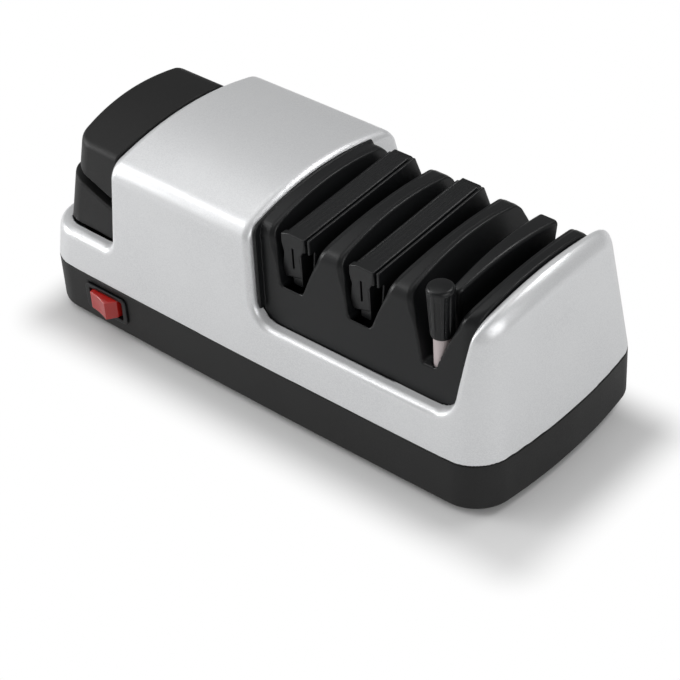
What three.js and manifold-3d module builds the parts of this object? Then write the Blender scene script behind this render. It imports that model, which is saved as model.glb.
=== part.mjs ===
// Electric knife sharpener: a saddle-cut silver shell over a black module with three knife slots,
// and a motor-driven spindle that carries two pairs of conical abrasive wheels.
// Millimetres, +Z up. The origin is the centre of the footprint on the table, +X points to the
// plain end block and -Y to the side with the switch.
import * as THREE from 'three';
import { mergeVertices } from 'three/addons/utils/BufferGeometryUtils.js';
import Module from 'manifold-3d';

const wasm = await Module();
wasm.setup();

// Driving sizes of the body
const bodyLength = 250;
const bodyWidth = 109;
const crownTop = 90.6;
const crownRise = 7;
const seamHeight = 25.4;
const standHeight = 3;
const endBow = 5.5;
const sideBow = 1.2;
const cornerRadius = 14.2;
const sideLeanDeg = 8;
const endLeanDeg = 6;
const shoulderRadius = 6;
const endRadius = 9;
const innerRadius = 4.5;
const leastSideRadius = 1;
const leastEndRadius = 2;
const shellWall = 2.4;
const baseWall = 3.8;
const baseFloor = 2.4;
const clearance = 0.3;
const overrun = 4;
const lipHeight = 2.6;
const lipThickness = 1.4;

// Saddle opening of the shell; its width is gauged at one height because its sides lean
const openingLeft = 3;
const endBlock = 20.6;
const openingGauge = 50;
const openingSill = 44;
const openingLeanDeg = 6.8;
const openingCorner = 9;
const rimDepth = 6;
const rimWall = 2.4;
const rimRounding = 3;
const crownRimRounding = 4.5;
const rimLead = 0.15;

// Notch of the shell that takes the black end cover
const notchLength = 47;
const notchSill = 43;
const notchCorner = 4;

// End cover and its vent block
const coverGap = 0.8;
const coverDrop = 0.8;
const coverWall = 2.2;
const coverLeanDeg = 14;
const coverSideLeanDeg = 5.5;
const coverCorner = 8;
const coverStep = 3.6;
const coverBackInset = 19.9;
const coverSkirt = 2;
const blockShoulder = 54.5;
const ventGrooveHeight = 5.5;
const ventGrooveDeg = 18;
const ventNeckInset = 4;
const ventSlotWidth = 3;
const ventSlotPitch = 7;
const ventSlots = 7;
const ventSlotLow = 48;
const ventSlotHigh = 59;
const ventSlotInset = 16;

// Slot module
const firstSlotInset = 17.7;
const lastSlotInset = 13.5;
const slotMouth = 12.8;
const slotMouthRise = 0.9;
const slotDepth = 21.5;
const slotFloorHalf = 5.6;
const honeSlotDepth = 27;
const honeSlotFloorHalf = 2.7;
const ridgeDrop = 0.9;
const moduleWall = 2.2;
const moduleSkirt = 3;
const moduleBackInset = 15.8;
const moduleFrontRounding = 2.5;
const moduleBackRounding = 3.5;
const lipInset = 3.2;
const lipWidth = 1.5;

// Spring guides in the first two slots
const guideSetback = 0.7;
const guideBackSetback = 2;
const guideHalf = 5.8;
const guideProud = 0.8;
const guideCapDepth = 5;
const guideStemHalf = 2.5;
const guideFaceDepth = 3;
const guideWaistHalf = 5;
const guideWaistRise = 13.5;
const guideCheekHalf = 6.3;
const guideCheekRise = 7.5;
const guideToeHalf = 4;
const guideToeRise = 2.6;
const guideRidgeInset = 0.1;
const guideRidgeWidth = 1.5;
const guideRidgeRise = 0.4;
const guideTabInset = 0.8;
const guideTabHalf = 5;
const guideTabHeight = 2;
const guideTabDepth = 3;
const guideSlitHalf = 0.5;
const guideSlitDepth = 1.4;
const guideHookHalf = 1;
const leafThickness = 1.2;
const leafTopOffset = 6.7;
const leafFootOffset = 4.6;
const leafFootRise = 1.6;
const leafDrop = 0.9;
const leafSetback = 0.4;

// Divider of the third slot
const dividerGap = 8.5;
const dividerBackSetback = 1;
const dividerFrontHalf = 2.35;
const dividerBackHalf = 4.5;
const dividerFootHalf = 1;
const dividerDrop = 0.9;

// Ceramic rod and its handle
const honeInset = 5.7;
const honeRadius = 3.45;
const honeStickLength = 34.8;
const honeTip = 1.2;
const honeSocketWall = 1.8;
const honeSocketFloor = 0.6;
const honeRunning = 0.4;
const handleRise = 4.7;
const handleLength = 27;
const handleTopRadius = 6.1;
const handleFootRadius = 4.4;
const handleFlutes = 8;
const fluteRadius = 1.6;
const fluteDepth = 0.75;
const fluteStart = 2.5;
const fluteStop = 5;
const handleRounding = 1.6;
const handleGrip = 12;

// Rocker switch
const switchInset = 42.5;
const switchHeight = 16;
const bezelWidth = 24.5;
const bezelHeight = 13;
const bezelProud = 1.2;
const bezelRim = 2.4;
const bezelBodyWidth = 22;
const bezelBodyHeight = 11.8;
const bezelBodyDepth = 19;
const bezelWall = 1.2;
const rockerHeight = 8.8;
const rockerCrest = 8.6;
const rockerCrestHalf = 5.85;
const rockerDish = 0.5;
const rockerSkirt = 3.6;
const rockerSkirtHalf = 7.9;
const rockerPivot = 4;
const rockerDepth = 3.5;
const rockerFoot = 4;
const rockerTiltDeg = 13;
const rockerPin = 1.3;
const rockerPinReach = 0.9;

// Feet, case screws and posts
const footRadius = 7;
const footRecess = 1;
const footInset = 41;
const footSideInset = 16.5;
const postInset = 21;
const postSideInset = 16;
const postRadius = 4.6;
const postSeat = 16;
const postDrop = 3;
const postRib = 2;
const screwShank = 1.6;
const screwHead = 3;
const screwHeadHeight = 2;
const screwLength = 16;
const screwPilot = 1.9;
const headSeat = 6;

// Drive line
const axisDrop = 22;
const motorRadius = 18;
const motorWall = 1.5;
const motorGap = 4.5;
const motorShaftRadius = 2.5;
const bearingRadius = 6;
const bearingWidth = 4;
const magnetInner = 11.2;
const magnetSpanDeg = 125;
const magnetOverhang = 1;
const rotorRadius = 10.4;
const rotorEndRoom = 20;
const rotorSetback = 7.5;
const rotorSlots = 5;
const rotorSlotWidth = 2.4;
const rotorSlotDepth = 6;
const commutatorRadius = 4.6;
const commutatorLength = 6;
const brushWidth = 3.4;
const brushLength = 5;
const endCapThickness = 5;
const endCapVents = 4;
const fanRadius = 17;
const fanHub = 6;
const fanWidth = 6;
const fanBlades = 7;
const fanBlade = 1.4;
const fanPitchDeg = 35;
const fanGap = 2;
const fanStandoff = 1;
const fanMargin = 4;
const bracketThickness = 2;
const bracketWidth = 40;
const bracketRise = 21;
const bracketFoot = 16;
const bracketRounding = 4;
const motorScrewOffset = 12;
const motorScrewShank = 1.4;
const motorScrewHead = 2.6;
const motorScrewLength = 5.5;
const motorScrewHeadHeight = 1.8;
const cradleInset = 4;
const cradleWidth = 4;
const cradleDrop = 9;
const couplingRadius = 8;
const couplingLength = 13;
const couplingGap = 2.5;
const spindleRadius = 4;
const spindleStub = 5;
const pillarStandoff = 6.8;
const pillarReach = 10.8;
const pillarWidth = 24;
const pillarThickness = 5;
const pillarRise = 10;
const pillarRounding = 8;
const pillarFoot = 12;
const bushRadius = 6.5;
const bushWidth = 6;
const shaftWayMargin = 4;

// Abrasive wheels
const wheelRadius = 22.4;
const wheelRim = 1.5;
const wheelHub = 7;
const wheelHubWidth = 6.5;
const wheelPlate = 3;
const wheelOffset = 6.4;
const wheelWindow = 2.9;
const wheelWindowOuter = 10.5;
const wheelWindowHalf = 14;
const springWire = 1.1;
const springRadius = 5.9;
const springTurns = 3.5;

// Electrics
const boardInset = 13;
const boardLength = 26;
const boardWidth = 54;
const boardThickness = 1.6;
const boardHeight = 14;
const boardPost = 2.4;
const capacitorRadius = 5;
const capacitorHeight = 18;
const rectifierWidth = 12;
const rectifierDepth = 3.5;
const rectifierHeight = 13;
const leadGap = 0.3;
const glandInset = 33;
const glandHeight = 14;
const glandRadius = 4.6;
const glandFlange = 6.6;
const glandFlangeWidth = 1;
const glandLock = 2.3;
const glandBore = 3.2;

// Facet counts and hand-chosen shares
const cornerSteps = 4;
const edgeSteps = 5;
const arcSteps = 4;
const roundSteps = 16;
const smallSteps = 8;
const motorSteps = 24;
const wireSteps = 5;
const coilSteps = 8;
const endPower = 8;
const bowPower = 4;
const crownShares = [1, 0.8, 0.6, 0.4, 0.2];
const roundingShares = [0, 0.25, 0.5, 0.75, 1];
const rimShares = [0, 0.33, 0.67, 1];
const bandShares = [0, 0.125, 0.25, 0.375, 0.5, 0.625, 0.75, 0.875, 1];
const acrossShares = [1, 0.75, 0.5, 0.25, 0, -0.25, -0.5, -0.75, -1];
const ridgeShares = [0.5, 0.25, 0, -0.25, -0.5, -0.75];
const weldShare = 1e-6;

// Places worked out from the driving sizes
const halfLength = bodyLength / 2;
const halfWidth = bodyWidth / 2;
const shoulderHeight = crownTop - crownRise;
const openingRight = halfLength - endBlock;
const notchEdge = notchLength - halfLength;
const firstSlot = openingLeft + firstSlotInset;
const slotPitch = (openingRight - lastSlotInset - firstSlot) / 2;
const slotCentres = [0, 1, 2].map((i) => firstSlot + i * slotPitch);
const slotMouthHeight = shoulderHeight + slotMouthRise;
const slotFloor = slotMouthHeight - slotDepth;
const honeSlotFloor = slotMouthHeight - honeSlotDepth;
const honeX = slotCentres[2];
const moduleBottom = openingSill - moduleSkirt;
const guideCapBottom = slotMouthHeight - guideCapDepth;
const leafFoot = slotFloor + leafFootRise;
const handleTop = crownTop + handleRise;
const baseInside = standHeight + baseFloor;
const standOnFloor = baseInside + clearance;
const [postX, postY] = [halfLength - postInset, halfWidth - postSideInset];
const [footX, footY] = [halfLength - footInset, halfWidth - footSideInset];
const switchCentre = switchInset - halfLength;
const glandX = glandInset - halfLength;
const boardLeft = boardInset - halfLength;
const axisHeight = slotFloor - axisDrop;
const wheelCentres = slotCentres.slice(0, 2).flatMap((x) => [x - wheelOffset, x + wheelOffset]);
const pillarCentres = [wheelCentres[0] - pillarStandoff, wheelCentres[3] + pillarReach];
const spindleEnd = pillarCentres[1] + spindleStub;
const couplingRight = pillarCentres[0] - pillarThickness / 2 - couplingGap;
const couplingLeft = couplingRight - couplingLength;
const couplingMiddle = (couplingLeft + couplingRight) / 2;
const motorRight = couplingLeft - motorGap;
const fanLeft = notchEdge + fanStandoff;
const motorLeft = fanLeft + fanWidth + fanGap + endCapThickness;
const rotorLength = motorRight - motorLeft - rotorEndRoom;
const rotorLeft = motorRight - motorWall - rotorSetback - rotorLength;
const commutatorLeft = rotorLeft - commutatorLength - clearance;

const materials = {
  silver: paint(0xc9cacb, 0.32, 0.35),
  black: paint(0x2b2b2c, 0.5, 0),
  glossBlack: paint(0x17181a, 0.28, 0),
  red: paint(0xc4302b, 0.35, 0),
  ceramic: paint(0xe9e2e1, 0.5, 0),
  rubber: paint(0x1b1b1b, 0.9, 0),
  steel: paint(0xb4b6b8, 0.35, 0.9),
  darkSteel: paint(0x6c6e70, 0.45, 0.8),
  copper: paint(0xb4693a, 0.35, 0.9),
  brass: paint(0xb99a4e, 0.35, 0.9),
  ferrite: paint(0x3a3a3d, 0.7, 0.1),
  abrasive: paint(0x8f9296, 0.85, 0.2),
  board: paint(0x2f6a44, 0.6, 0),
};

function paint(color, roughness, metalness) {
  return new THREE.MeshStandardMaterial({ color, roughness, metalness });
}

// Closed solids from vertices and faces

function solidOf(geometry) {
  const bare = geometry.clone();
  bare.deleteAttribute('normal');
  bare.deleteAttribute('uv');
  bare.computeBoundingSphere();
  const merged = mergeVertices(bare, bare.boundingSphere.radius * weldShare);
  return outward(merged.attributes.position.array, merged.index.array);
}

function outward(positions, indices) {
  const make = (triVerts) => new wasm.Manifold(
    new wasm.Mesh({ numProp: 3, vertProperties: new Float32Array(positions), triVerts }),
  );
  const faces = new Uint32Array(indices);
  const made = make(faces);
  if (made.volume() > 0) return made;
  for (let i = 0; i < faces.length; i += 3) [faces[i], faces[i + 1]] = [faces[i + 1], faces[i]];
  return make(faces);
}

// Skins rings of equal point counts and closes both ends; flat maps a ring point to 2-D.
function loft(rings, flat) {
  const count = rings[0].length;
  const faces = [];
  for (let k = 0; k + 1 < rings.length; k += 1) {
    for (let i = 0; i < count; i += 1) {
      const j = (i + 1) % count;
      const [a, b] = [k * count + i, k * count + j];
      faces.push([a, b, b + count], [a, b + count, a + count]);
    }
  }
  const cap = (ring, base, flip) => {
    const outline = ring.map(flat);
    const reversed = flip !== THREE.ShapeUtils.isClockWise(outline);
    THREE.ShapeUtils.triangulateShape(outline, []).forEach(([a, b, c]) => {
      faces.push(reversed ? [base + c, base + b, base + a] : [base + a, base + b, base + c]);
    });
  };
  cap(rings[0], 0, true);
  cap(rings[rings.length - 1], (rings.length - 1) * count, false);
  return outward(rings.flat().flatMap((p) => [p.x, p.y, p.z]), faces.flat());
}

const seenFromTop = (p) => new THREE.Vector2(p.x, p.y);
const seenFromFront = (p) => new THREE.Vector2(p.x, p.z);

// Rounds the corners of a closed outline given as [x, y, radius] points.
function rounded(corners) {
  const points = [];
  corners.forEach(([x, y, radius = 0], i) => {
    const here = new THREE.Vector2(x, y);
    if (radius <= 0) {
      points.push(here);
      return;
    }
    const last = corners[(i + corners.length - 1) % corners.length];
    const next = corners[(i + 1) % corners.length];
    const back = new THREE.Vector2(last[0] - x, last[1] - y);
    const ahead = new THREE.Vector2(next[0] - x, next[1] - y);
    const half = Math.acos(back.dot(ahead) / (back.length() * ahead.length())) / 2;
    const reach = Math.min(radius / Math.tan(half), back.length() / 2, ahead.length() / 2);
    const start = here.clone().addScaledVector(back.normalize(), reach);
    const end = here.clone().addScaledVector(ahead.normalize(), reach);
    for (let k = 0; k <= arcSteps; k += 1) {
      const t = k / arcSteps;
      const [p, q] = [start.clone().lerp(here, t), here.clone().lerp(end, t)];
      points.push(p.lerp(q, t));
    }
  });
  return points;
}

// Straight prisms: an outline in (x, y), (y, z) or (x, z), swept along the third axis

function sweep(points, length, xAxis, yAxis, zAxis, start) {
  const geometry = new THREE.ExtrudeGeometry(new THREE.Shape(points), {
    depth: length, bevelEnabled: false, steps: 1,
  });
  geometry.applyMatrix4(new THREE.Matrix4().makeBasis(xAxis, yAxis, zAxis));
  return solidOf(geometry).translate(start);
}

const X = new THREE.Vector3(1, 0, 0);
const Y = new THREE.Vector3(0, 1, 0);
const Z = new THREE.Vector3(0, 0, 1);
const prismZ = (points, z0, z1) => sweep(points, z1 - z0, X, Y, Z, [0, 0, z0]);
const prismX = (points, x0, x1) => sweep(points, x1 - x0, Y, Z, X, [x0, 0, 0]);
const prismY = (points, y0, y1) => sweep(points, y1 - y0, X, Z, Y.clone().negate(), [0, y1, 0]);

function box(x0, x1, y0, y1, z0, z1) {
  const geometry = new THREE.BoxGeometry(x1 - x0, y1 - y0, z1 - z0);
  return solidOf(geometry).translate([(x0 + x1) / 2, (y0 + y1) / 2, (z0 + z1) / 2]);
}

// Turned pieces: profile points are [radius, height]; turnedX lies along X, turnedZ stands
function turned(profile, steps = roundSteps) {
  return new THREE.LatheGeometry(profile.map(([r, h]) => new THREE.Vector2(r, h)), steps);
}

const turnedX = (profile, steps) => solidOf(turned(profile, steps).rotateZ(-Math.PI / 2));
const turnedZ = (profile, steps) => solidOf(turned(profile, steps).rotateX(Math.PI / 2));
const rodProfile = (r, a, b) => [[0, a], [r, a], [r, b], [0, b]];
const ringProfile = (inner, outer, a, b) => [[inner, a], [outer, a], [outer, b], [inner, b], [inner, a]];

const joined = (solids) => solids.reduce((sum, one) => sum.add(one));

// The loaf shape of the body

const rise = (deg, run) => Math.tan(THREE.MathUtils.degToRad(deg)) * run;
const halfWidthAt = (z) => halfWidth - rise(sideLeanDeg, Math.max(z - seamHeight, 0));
const halfLengthAt = (z) => halfLength - rise(endLeanDeg, Math.max(z - seamHeight, 0));

// Height of the crown across the body; the crown is an arc that stays level along X.
function crownAt(y) {
  const share = y / halfWidthAt(shoulderHeight);
  return shoulderHeight + crownRise * (1 - share * share);
}

const moduleFrontAt = (z) => halfWidthAt(z) - rimDepth - clearance;
const moduleFront = moduleFrontAt(slotMouthHeight);
const moduleBack = halfWidthAt(shoulderHeight) - moduleBackInset;
const coverBack = halfWidthAt(shoulderHeight) - coverBackInset;
const guideFront = moduleFront - guideSetback;
const guideBack = moduleBack - guideBackSetback;
const honeSetback = moduleFrontAt(honeSlotFloor) - honeInset;
const dividerFront = honeSetback - dividerGap;
const dividerBack = moduleBack - dividerBackSetback;

// Plan outline with round corners, bowed ends and slightly bowed sides.
function planOutline(length, width, radius) {
  const a = length - endBow;
  const w = width - sideBow;
  const signs = [[1, 1], [-1, 1], [-1, -1], [1, -1]];
  const arcPoint = (k, t) => {
    const angle = (k + t) * Math.PI / 2;
    return new THREE.Vector2(
      signs[k][0] * (a - radius) + radius * Math.cos(angle),
      signs[k][1] * (w - radius) + radius * Math.sin(angle),
    );
  };
  const points = [];
  signs.forEach((_, k) => {
    for (let i = 0; i <= cornerSteps; i += 1) points.push(arcPoint(k, i / cornerSteps));
    const [start, end] = [arcPoint(k, 1), arcPoint((k + 1) % signs.length, 0)];
    for (let i = 1; i < edgeSteps; i += 1) points.push(start.clone().lerp(end, i / edgeSteps));
  });
  return points.map(({ x, y }) => new THREE.Vector2(
    x + Math.sign(x) * Math.abs(x / a) ** bowPower * endBow * (1 - (y / w) ** 2),
    y + Math.sign(y) * Math.abs(y / w) ** bowPower * sideBow * (1 - (x / a) ** 2),
  ));
}

// Body solid offset inwards by inset: leaning walls, a rounded top edge and the crown.
function loaf(inset, bottom) {
  const top = (p, drop) => new THREE.Vector3(p.x, p.y, crownAt(p.y) - inset - drop);
  const radius = Math.max(cornerRadius - inset, innerRadius);
  const rings = [bottom, seamHeight]
    .filter((z, i) => i === 0 || z > bottom)
    .map((z) => planOutline(halfLengthAt(z) - inset, halfWidthAt(z) - inset, radius)
      .map((p) => new THREE.Vector3(p.x, p.y, z)));
  const endRound = Math.max(endRadius - inset, leastEndRadius);
  const sideRound = Math.max(shoulderRadius - inset, leastSideRadius);
  const ringAt = (angle) => {
    const [back, down] = [1 - Math.cos(angle), 1 - Math.sin(angle)];
    const length = halfLengthAt(crownTop - inset - endRound * down) - inset - endRound * back;
    const width = halfWidthAt(shoulderHeight - inset - sideRound * down) - inset - sideRound * back;
    const outline = planOutline(length, width, radius - sideRound * back / 2);
    return outline.map((p) => {
      const along = Math.min(Math.abs(p.x) / length, 1) ** endPower;
      return top(p, down * THREE.MathUtils.lerp(sideRound, endRound, along));
    });
  };
  roundingShares.forEach((share) => rings.push(ringAt(share * Math.PI / 2)));
  const rim = rings[rings.length - 1];
  crownShares.slice(1).forEach((share) => {
    rings.push(rim.map((p) => top(new THREE.Vector2(p.x - Math.sign(p.x) * (1 - share)
      * Math.min(Math.abs(p.x), halfWidth), p.y * share), 0)));
  });
  return loft(rings, seenFromTop);
}

// Outline of the saddle opening, or of the module that fills it, in (x, z)
function saddleOutline(grow, sill, corner) {
  const left = (z) => openingLeft - grow - rise(openingLeanDeg, z - openingGauge);
  const right = (z) => openingRight + grow + rise(openingLeanDeg, z - openingGauge);
  const top = crownTop + overrun;
  return rounded([
    [left(sill), sill, corner], [right(sill), sill, corner], [right(top), top], [left(top), top],
  ]);
}

function notchOutline(grow) {
  const left = -halfLength - overrun;
  const top = crownTop + overrun;
  return rounded([
    [left, notchSill - grow], [notchEdge + grow, notchSill - grow, notchCorner + grow],
    [notchEdge + grow, top], [left, top],
  ]);
}

const acrossBody = (outline) => prismY(outline, -bodyWidth, bodyWidth);

function upperShell() {
  const bottom = seamHeight + clearance;
  const outer = loaf(0, bottom);
  const skin = outer.subtract(loaf(shellWall, bottom - overrun));
  const rimSkin = outer.subtract(loaf(rimDepth, bottom - overrun));
  const saddle = acrossBody(saddleOutline(0, openingSill, openingCorner));
  const saddleRim = acrossBody(saddleOutline(rimWall, openingSill - rimWall, openingCorner + rimWall));
  const notch = acrossBody(notchOutline(0));
  const notchRim = acrossBody(notchOutline(rimWall));
  const posts = cornerPlaces(postX, postY).map(([x, y]) => shellPost(x, y));
  const raw = joined([
    skin, rimSkin.intersect(saddleRim), rimSkin.intersect(notchRim),
    outer.intersect(bulkheads(saddleRim, notchRim)), ...posts,
  ]);
  return raw.subtract(saddle).subtract(notch).subtract(rimCutters());
}

// Round edges swept along the opening and the notch: grow is the way out from the opening's edge,
// depth the way in from the skin, started a little outside it so that the faces cross cleanly
const roundEdge = (radius) => rimShares.map((share) => {
  const angle = share * Math.PI / 2;
  const lead = rimLead * (1 - share);
  return { grow: radius * (1 - Math.sin(angle)), depth: radius * (1 - Math.cos(angle)) - lead };
});

function rimCutters() {
  const sides = [-1, 1];
  const saddle = (grow) => saddleOutline(grow, openingSill - grow, openingCorner + grow);
  return joined([
    ...sides.map((side) => wallEdge(saddle, side)), ...sides.map((side) => wallEdge(notchOutline, side)),
    crownEdge((z) => openingLeft - rise(openingLeanDeg, z - openingGauge), -1),
    crownEdge((z) => openingRight + rise(openingLeanDeg, z - openingGauge), 1),
    ledgeEdge(),
  ]);
}

// Cutter that rounds an opening's edge on the front wall (side -1) or the back one (side 1)
function wallEdge(outlineAt, side) {
  const a = halfLength - endBow;
  const skinAt = (x, z) => halfWidthAt(z) - sideBow * (x / a) ** 2;
  const steps = roundEdge(rimRounding);
  return loft([{ grow: rimRounding, depth: -overrun }, ...steps].map(({ grow, depth }) => (
    outlineAt(grow).map(({ x, y: z }) => new THREE.Vector3(x, side * (skinAt(x, z) - depth), z))
  )), seenFromFront);
}

// Cutter that rounds the opening's edge on the crown, at its left side (-1) or its right one (1)
function crownEdge(edgeAt, side) {
  const steps = roundEdge(crownRimRounding);
  const rings = acrossShares.map((share) => {
    const y = share * halfWidthAt(shoulderHeight);
    const top = crownAt(y);
    const corner = ({ grow, depth }) => [edgeAt(top - depth) + side * grow, top - depth];
    const inner = edgeAt(top) - side * overrun;
    return [
      [edgeAt(top) + side * crownRimRounding, top + overrun], ...steps.map(corner),
      [inner, top - crownRimRounding], [inner, top + overrun],
    ].map(([x, z]) => new THREE.Vector3(x, y, z));
  });
  return loft(rings, seenFromFront);
}

// Cutter that rounds the outer edge of the notch's ledge, round the corners of the body
function ledgeEdge() {
  const rings = [...roundEdge(rimRounding)].reverse().map(({ grow, depth }) => {
    const z = notchSill - grow;
    return planOutline(halfLengthAt(z) - depth, halfWidthAt(z) - depth, cornerRadius - depth)
      .map((p) => new THREE.Vector3(p.x, p.y, z));
  });
  const low = notchSill - rimRounding;
  return box(-bodyLength, notchEdge - notchCorner, -bodyWidth, bodyWidth, low, notchSill)
    .subtract(loft(rings.reverse(), seenFromTop));
}

// What becomes the full-depth walls beside the saddle and behind the end cover, with room for the drive
function bulkheads(saddleRim, notchRim) {
  const fanWay = turnedX(rodProfile(fanRadius + fanMargin, -halfLength, 0)).translate([0, 0, axisHeight]);
  const above = (solid, height) => solid.trimByPlane([0, 0, 1], height);
  return above(saddleRim, openingSill + openingCorner).subtract(shaftWay())
    .add(above(notchRim, notchSill + notchCorner).subtract(fanWay));
}

// Room for the turning shafts, along the whole body and down to the floor
function shaftWay() {
  const half = couplingRadius + shaftWayMargin;
  return box(-halfLength, halfLength, -half, half, 0, axisHeight + half);
}

const cornerPlaces = (x, y) => [[-x, -y], [x, -y], [-x, y], [x, y]];

function shellPost(x, y) {
  const postTop = notchSill - postDrop;
  const post = turnedZ(rodProfile(postRadius, postSeat, postTop)).translate([x, y, 0]);
  const [y0, y1] = [y, Math.sign(y) * halfWidth].sort((a, b) => a - b);
  const ribBottom = seamHeight + overrun;
  const rib = box(x - postRib / 2, x + postRib / 2, y0, y1, ribBottom, postTop);
  const bore = turnedZ(rodProfile(screwPilot, postSeat - overrun, postSeat + screwLength))
    .translate([x, y, 0]);
  return post.add(rib.intersect(loaf(shellWall / 2, seamHeight))).subtract(bore);
}

function baseTray() {
  const ring = (inset) => planOutline(
    halfLength - inset, halfWidth - inset, Math.max(cornerRadius - inset, innerRadius),
  );
  const tub = prismZ(ring(0), standHeight, seamHeight)
    .subtract(prismZ(ring(baseWall), baseInside, seamHeight + overrun));
  const lipOut = shellWall + clearance + rise(sideLeanDeg, lipHeight);
  const lip = prismZ(ring(lipOut), seamHeight - lipHeight, seamHeight + lipHeight)
    .subtract(prismZ(ring(lipOut + lipThickness), baseInside, seamHeight + lipHeight + overrun));
  const bosses = cornerPlaces(postX, postY).map(([x, y]) => (
    turnedZ(rodProfile(postRadius, standHeight, postSeat - clearance)).translate([x, y, 0])));
  const cradleLeft = motorLeft + cradleInset;
  const cradle = box(cradleLeft, cradleLeft + cradleWidth, -motorRadius, motorRadius,
    standHeight, axisHeight - cradleDrop)
    .subtract(turnedX(rodProfile(motorRadius + clearance, motorLeft - overrun, motorRight), motorSteps)
      .translate([0, 0, axisHeight]));
  const boardPosts = cornerPlaces(boardLength / 2 - boardPost, boardWidth / 2 - boardPost)
    .map(([x, y]) => turnedZ(rodProfile(boardPost, standHeight, boardHeight - leadGap), smallSteps)
      .translate([boardLeft + boardLength / 2 + x, y, 0]));
  const cuts = [
    ...cornerPlaces(postX, postY).map(([x, y]) => screwHole(x, y)),
    ...cornerPlaces(footX, footY).map(([x, y]) => (
      turnedZ(rodProfile(footRadius + clearance, 0, standHeight + footRecess)).translate([x, y, 0]))),
    switchHole(), glandHole(),
  ];
  return joined([tub, lip, cradle, ...bosses, ...boardPosts]).subtract(joined(cuts));
}

function screwHole(x, y) {
  return turnedZ([
    [0, 0], [screwHead + clearance, 0], [screwHead + clearance, standHeight + headSeat],
    [screwPilot, standHeight + headSeat], [screwPilot, postSeat + overrun], [0, postSeat + overrun],
  ]).translate([x, y, 0]);
}

function caseScrew() {
  return turnedZ([
    [0, -screwHeadHeight], [screwHead, -screwHeadHeight], [screwHead, 0],
    [screwShank, 0], [screwShank, screwLength], [0, screwLength + screwShank],
  ], smallSteps);
}

function foot() {
  const seat = standHeight + footRecess - clearance;
  return turnedZ([
    [0, 0], [footRadius - footRecess, 0], [footRadius, footRecess], [footRadius, seat], [0, seat],
  ]);
}

// Black end cover: a vent block that stands in the notch and a shroud over it

const coverHalfWidthAt = (z) => (
  halfWidthAt(notchSill) - rimDepth - coverGap - rise(coverSideLeanDeg, z - notchSill));
const coverLeftAt = (z) => (
  halfLengthAt(notchSill) - rimDepth - coverGap - rise(coverLeanDeg, z - notchSill));

// Body-width band between two heights at the notch edge, rising to the left, that parts block and shroud
function slantBand(bottom, top) {
  const left = -halfLength - overrun;
  const right = notchEdge + overrun;
  const at = (z, x) => new THREE.Vector2(x, z + rise(ventGrooveDeg, notchEdge - x));
  return acrossBody([at(bottom, left), at(bottom, right), at(top, right), at(top, left)]);
}

// Tapering block of the cover's outline, stepped in by inset, clipped to the notch and the slope
function coverSolid(inset, step, topDrop, bottom) {
  const ringAt = (z) => planOutline(
    coverLeftAt(z) - inset - step, coverHalfWidthAt(z) - inset, coverCorner - inset,
  ).map((p) => new THREE.Vector3(p.x, p.y, z));
  const raw = loft([ringAt(bottom), ringAt(crownTop + overrun)], seenFromTop);
  const right = notchEdge - clearance - inset;
  const half = halfWidthAt(shoulderHeight);
  const crown = acrossShares.map((share) => [share * half, crownAt(share * half) - topDrop - inset]);
  const back = coverBack - inset;
  const wallTop = crownAt(coverBack) - topDrop - inset;
  const profile = rounded([
    [-bodyWidth, bottom], [coverHalfWidthAt(notchSill) - inset, bottom],
    [coverHalfWidthAt(notchSill) - inset, notchSill], [back, wallTop, moduleBackRounding],
    ...crown.filter(([y]) => y < back - moduleBackRounding).map(([y, z]) => [y, z]),
    [-bodyWidth, shoulderHeight],
  ]);
  return raw.intersect(prismX(profile, -bodyLength, right));
}

function ventBlock() {
  const bottom = notchSill - coverSkirt;
  const top = slantBand(blockShoulder, bodyLength);
  const neckTop = slantBand(blockShoulder + ventGrooveHeight + ventNeckInset, bodyLength);
  const body = coverSolid(0, 0, coverDrop, bottom).subtract(top);
  const neck = coverSolid(ventNeckInset, coverStep, coverDrop, bottom).subtract(neckTop);
  const hollow = coverSolid(ventNeckInset + coverWall, coverStep, coverDrop, bottom - overrun)
    .subtract(slantBand(blockShoulder + ventGrooveHeight, bodyLength));
  const slots = Array.from({ length: ventSlots }, (_, i) => {
    const y = (i - (ventSlots - 1) / 2) * ventSlotPitch;
    return box(-halfLength, notchEdge - ventSlotInset, y - ventSlotWidth / 2,
      y + ventSlotWidth / 2, ventSlotLow, ventSlotHigh);
  });
  return body.add(neck).subtract(hollow).subtract(joined(slots));
}

function endShroud() {
  const bottom = notchSill - coverSkirt;
  const below = slantBand(0, blockShoulder + ventGrooveHeight);
  const outer = coverSolid(0, coverStep, coverDrop, bottom);
  const inner = coverSolid(coverWall, coverStep, coverDrop, bottom - overrun);
  return outer.subtract(inner).subtract(below);
}

// Slot module

function slotOutline(floor, floorHalf, mouthHalf, grow, centre) {
  const slope = (mouthHalf - floorHalf) / (slotMouthHeight - floor);
  const top = crownTop + overrun;
  const reach = floorHalf + slope * (top - floor) + grow;
  return [
    [centre - floorHalf - grow, floor - grow], [centre + floorHalf + grow, floor - grow],
    [centre + reach, top], [centre - reach, top],
  ].map(([x, z]) => new THREE.Vector2(x, z));
}

const slotShapes = [
  [slotFloor, slotFloorHalf], [slotFloor, slotFloorHalf], [honeSlotFloor, honeSlotFloorHalf],
];

function slotSpaces(grow) {
  return joined(slotShapes.map(([floor, half], i) => (
    acrossBody(slotOutline(floor, half, slotMouth, grow, slotCentres[i])))));
}

// Leaning walls of the body's plan, without its crown
function walls(inset, bottom, top) {
  const radius = Math.max(cornerRadius - inset, innerRadius);
  return loft([bottom, top].map((z) => (
    planOutline(halfLengthAt(z) - inset, halfWidthAt(z) - inset, radius)
      .map((p) => new THREE.Vector3(p.x, p.y, z)))), seenFromTop);
}

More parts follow.
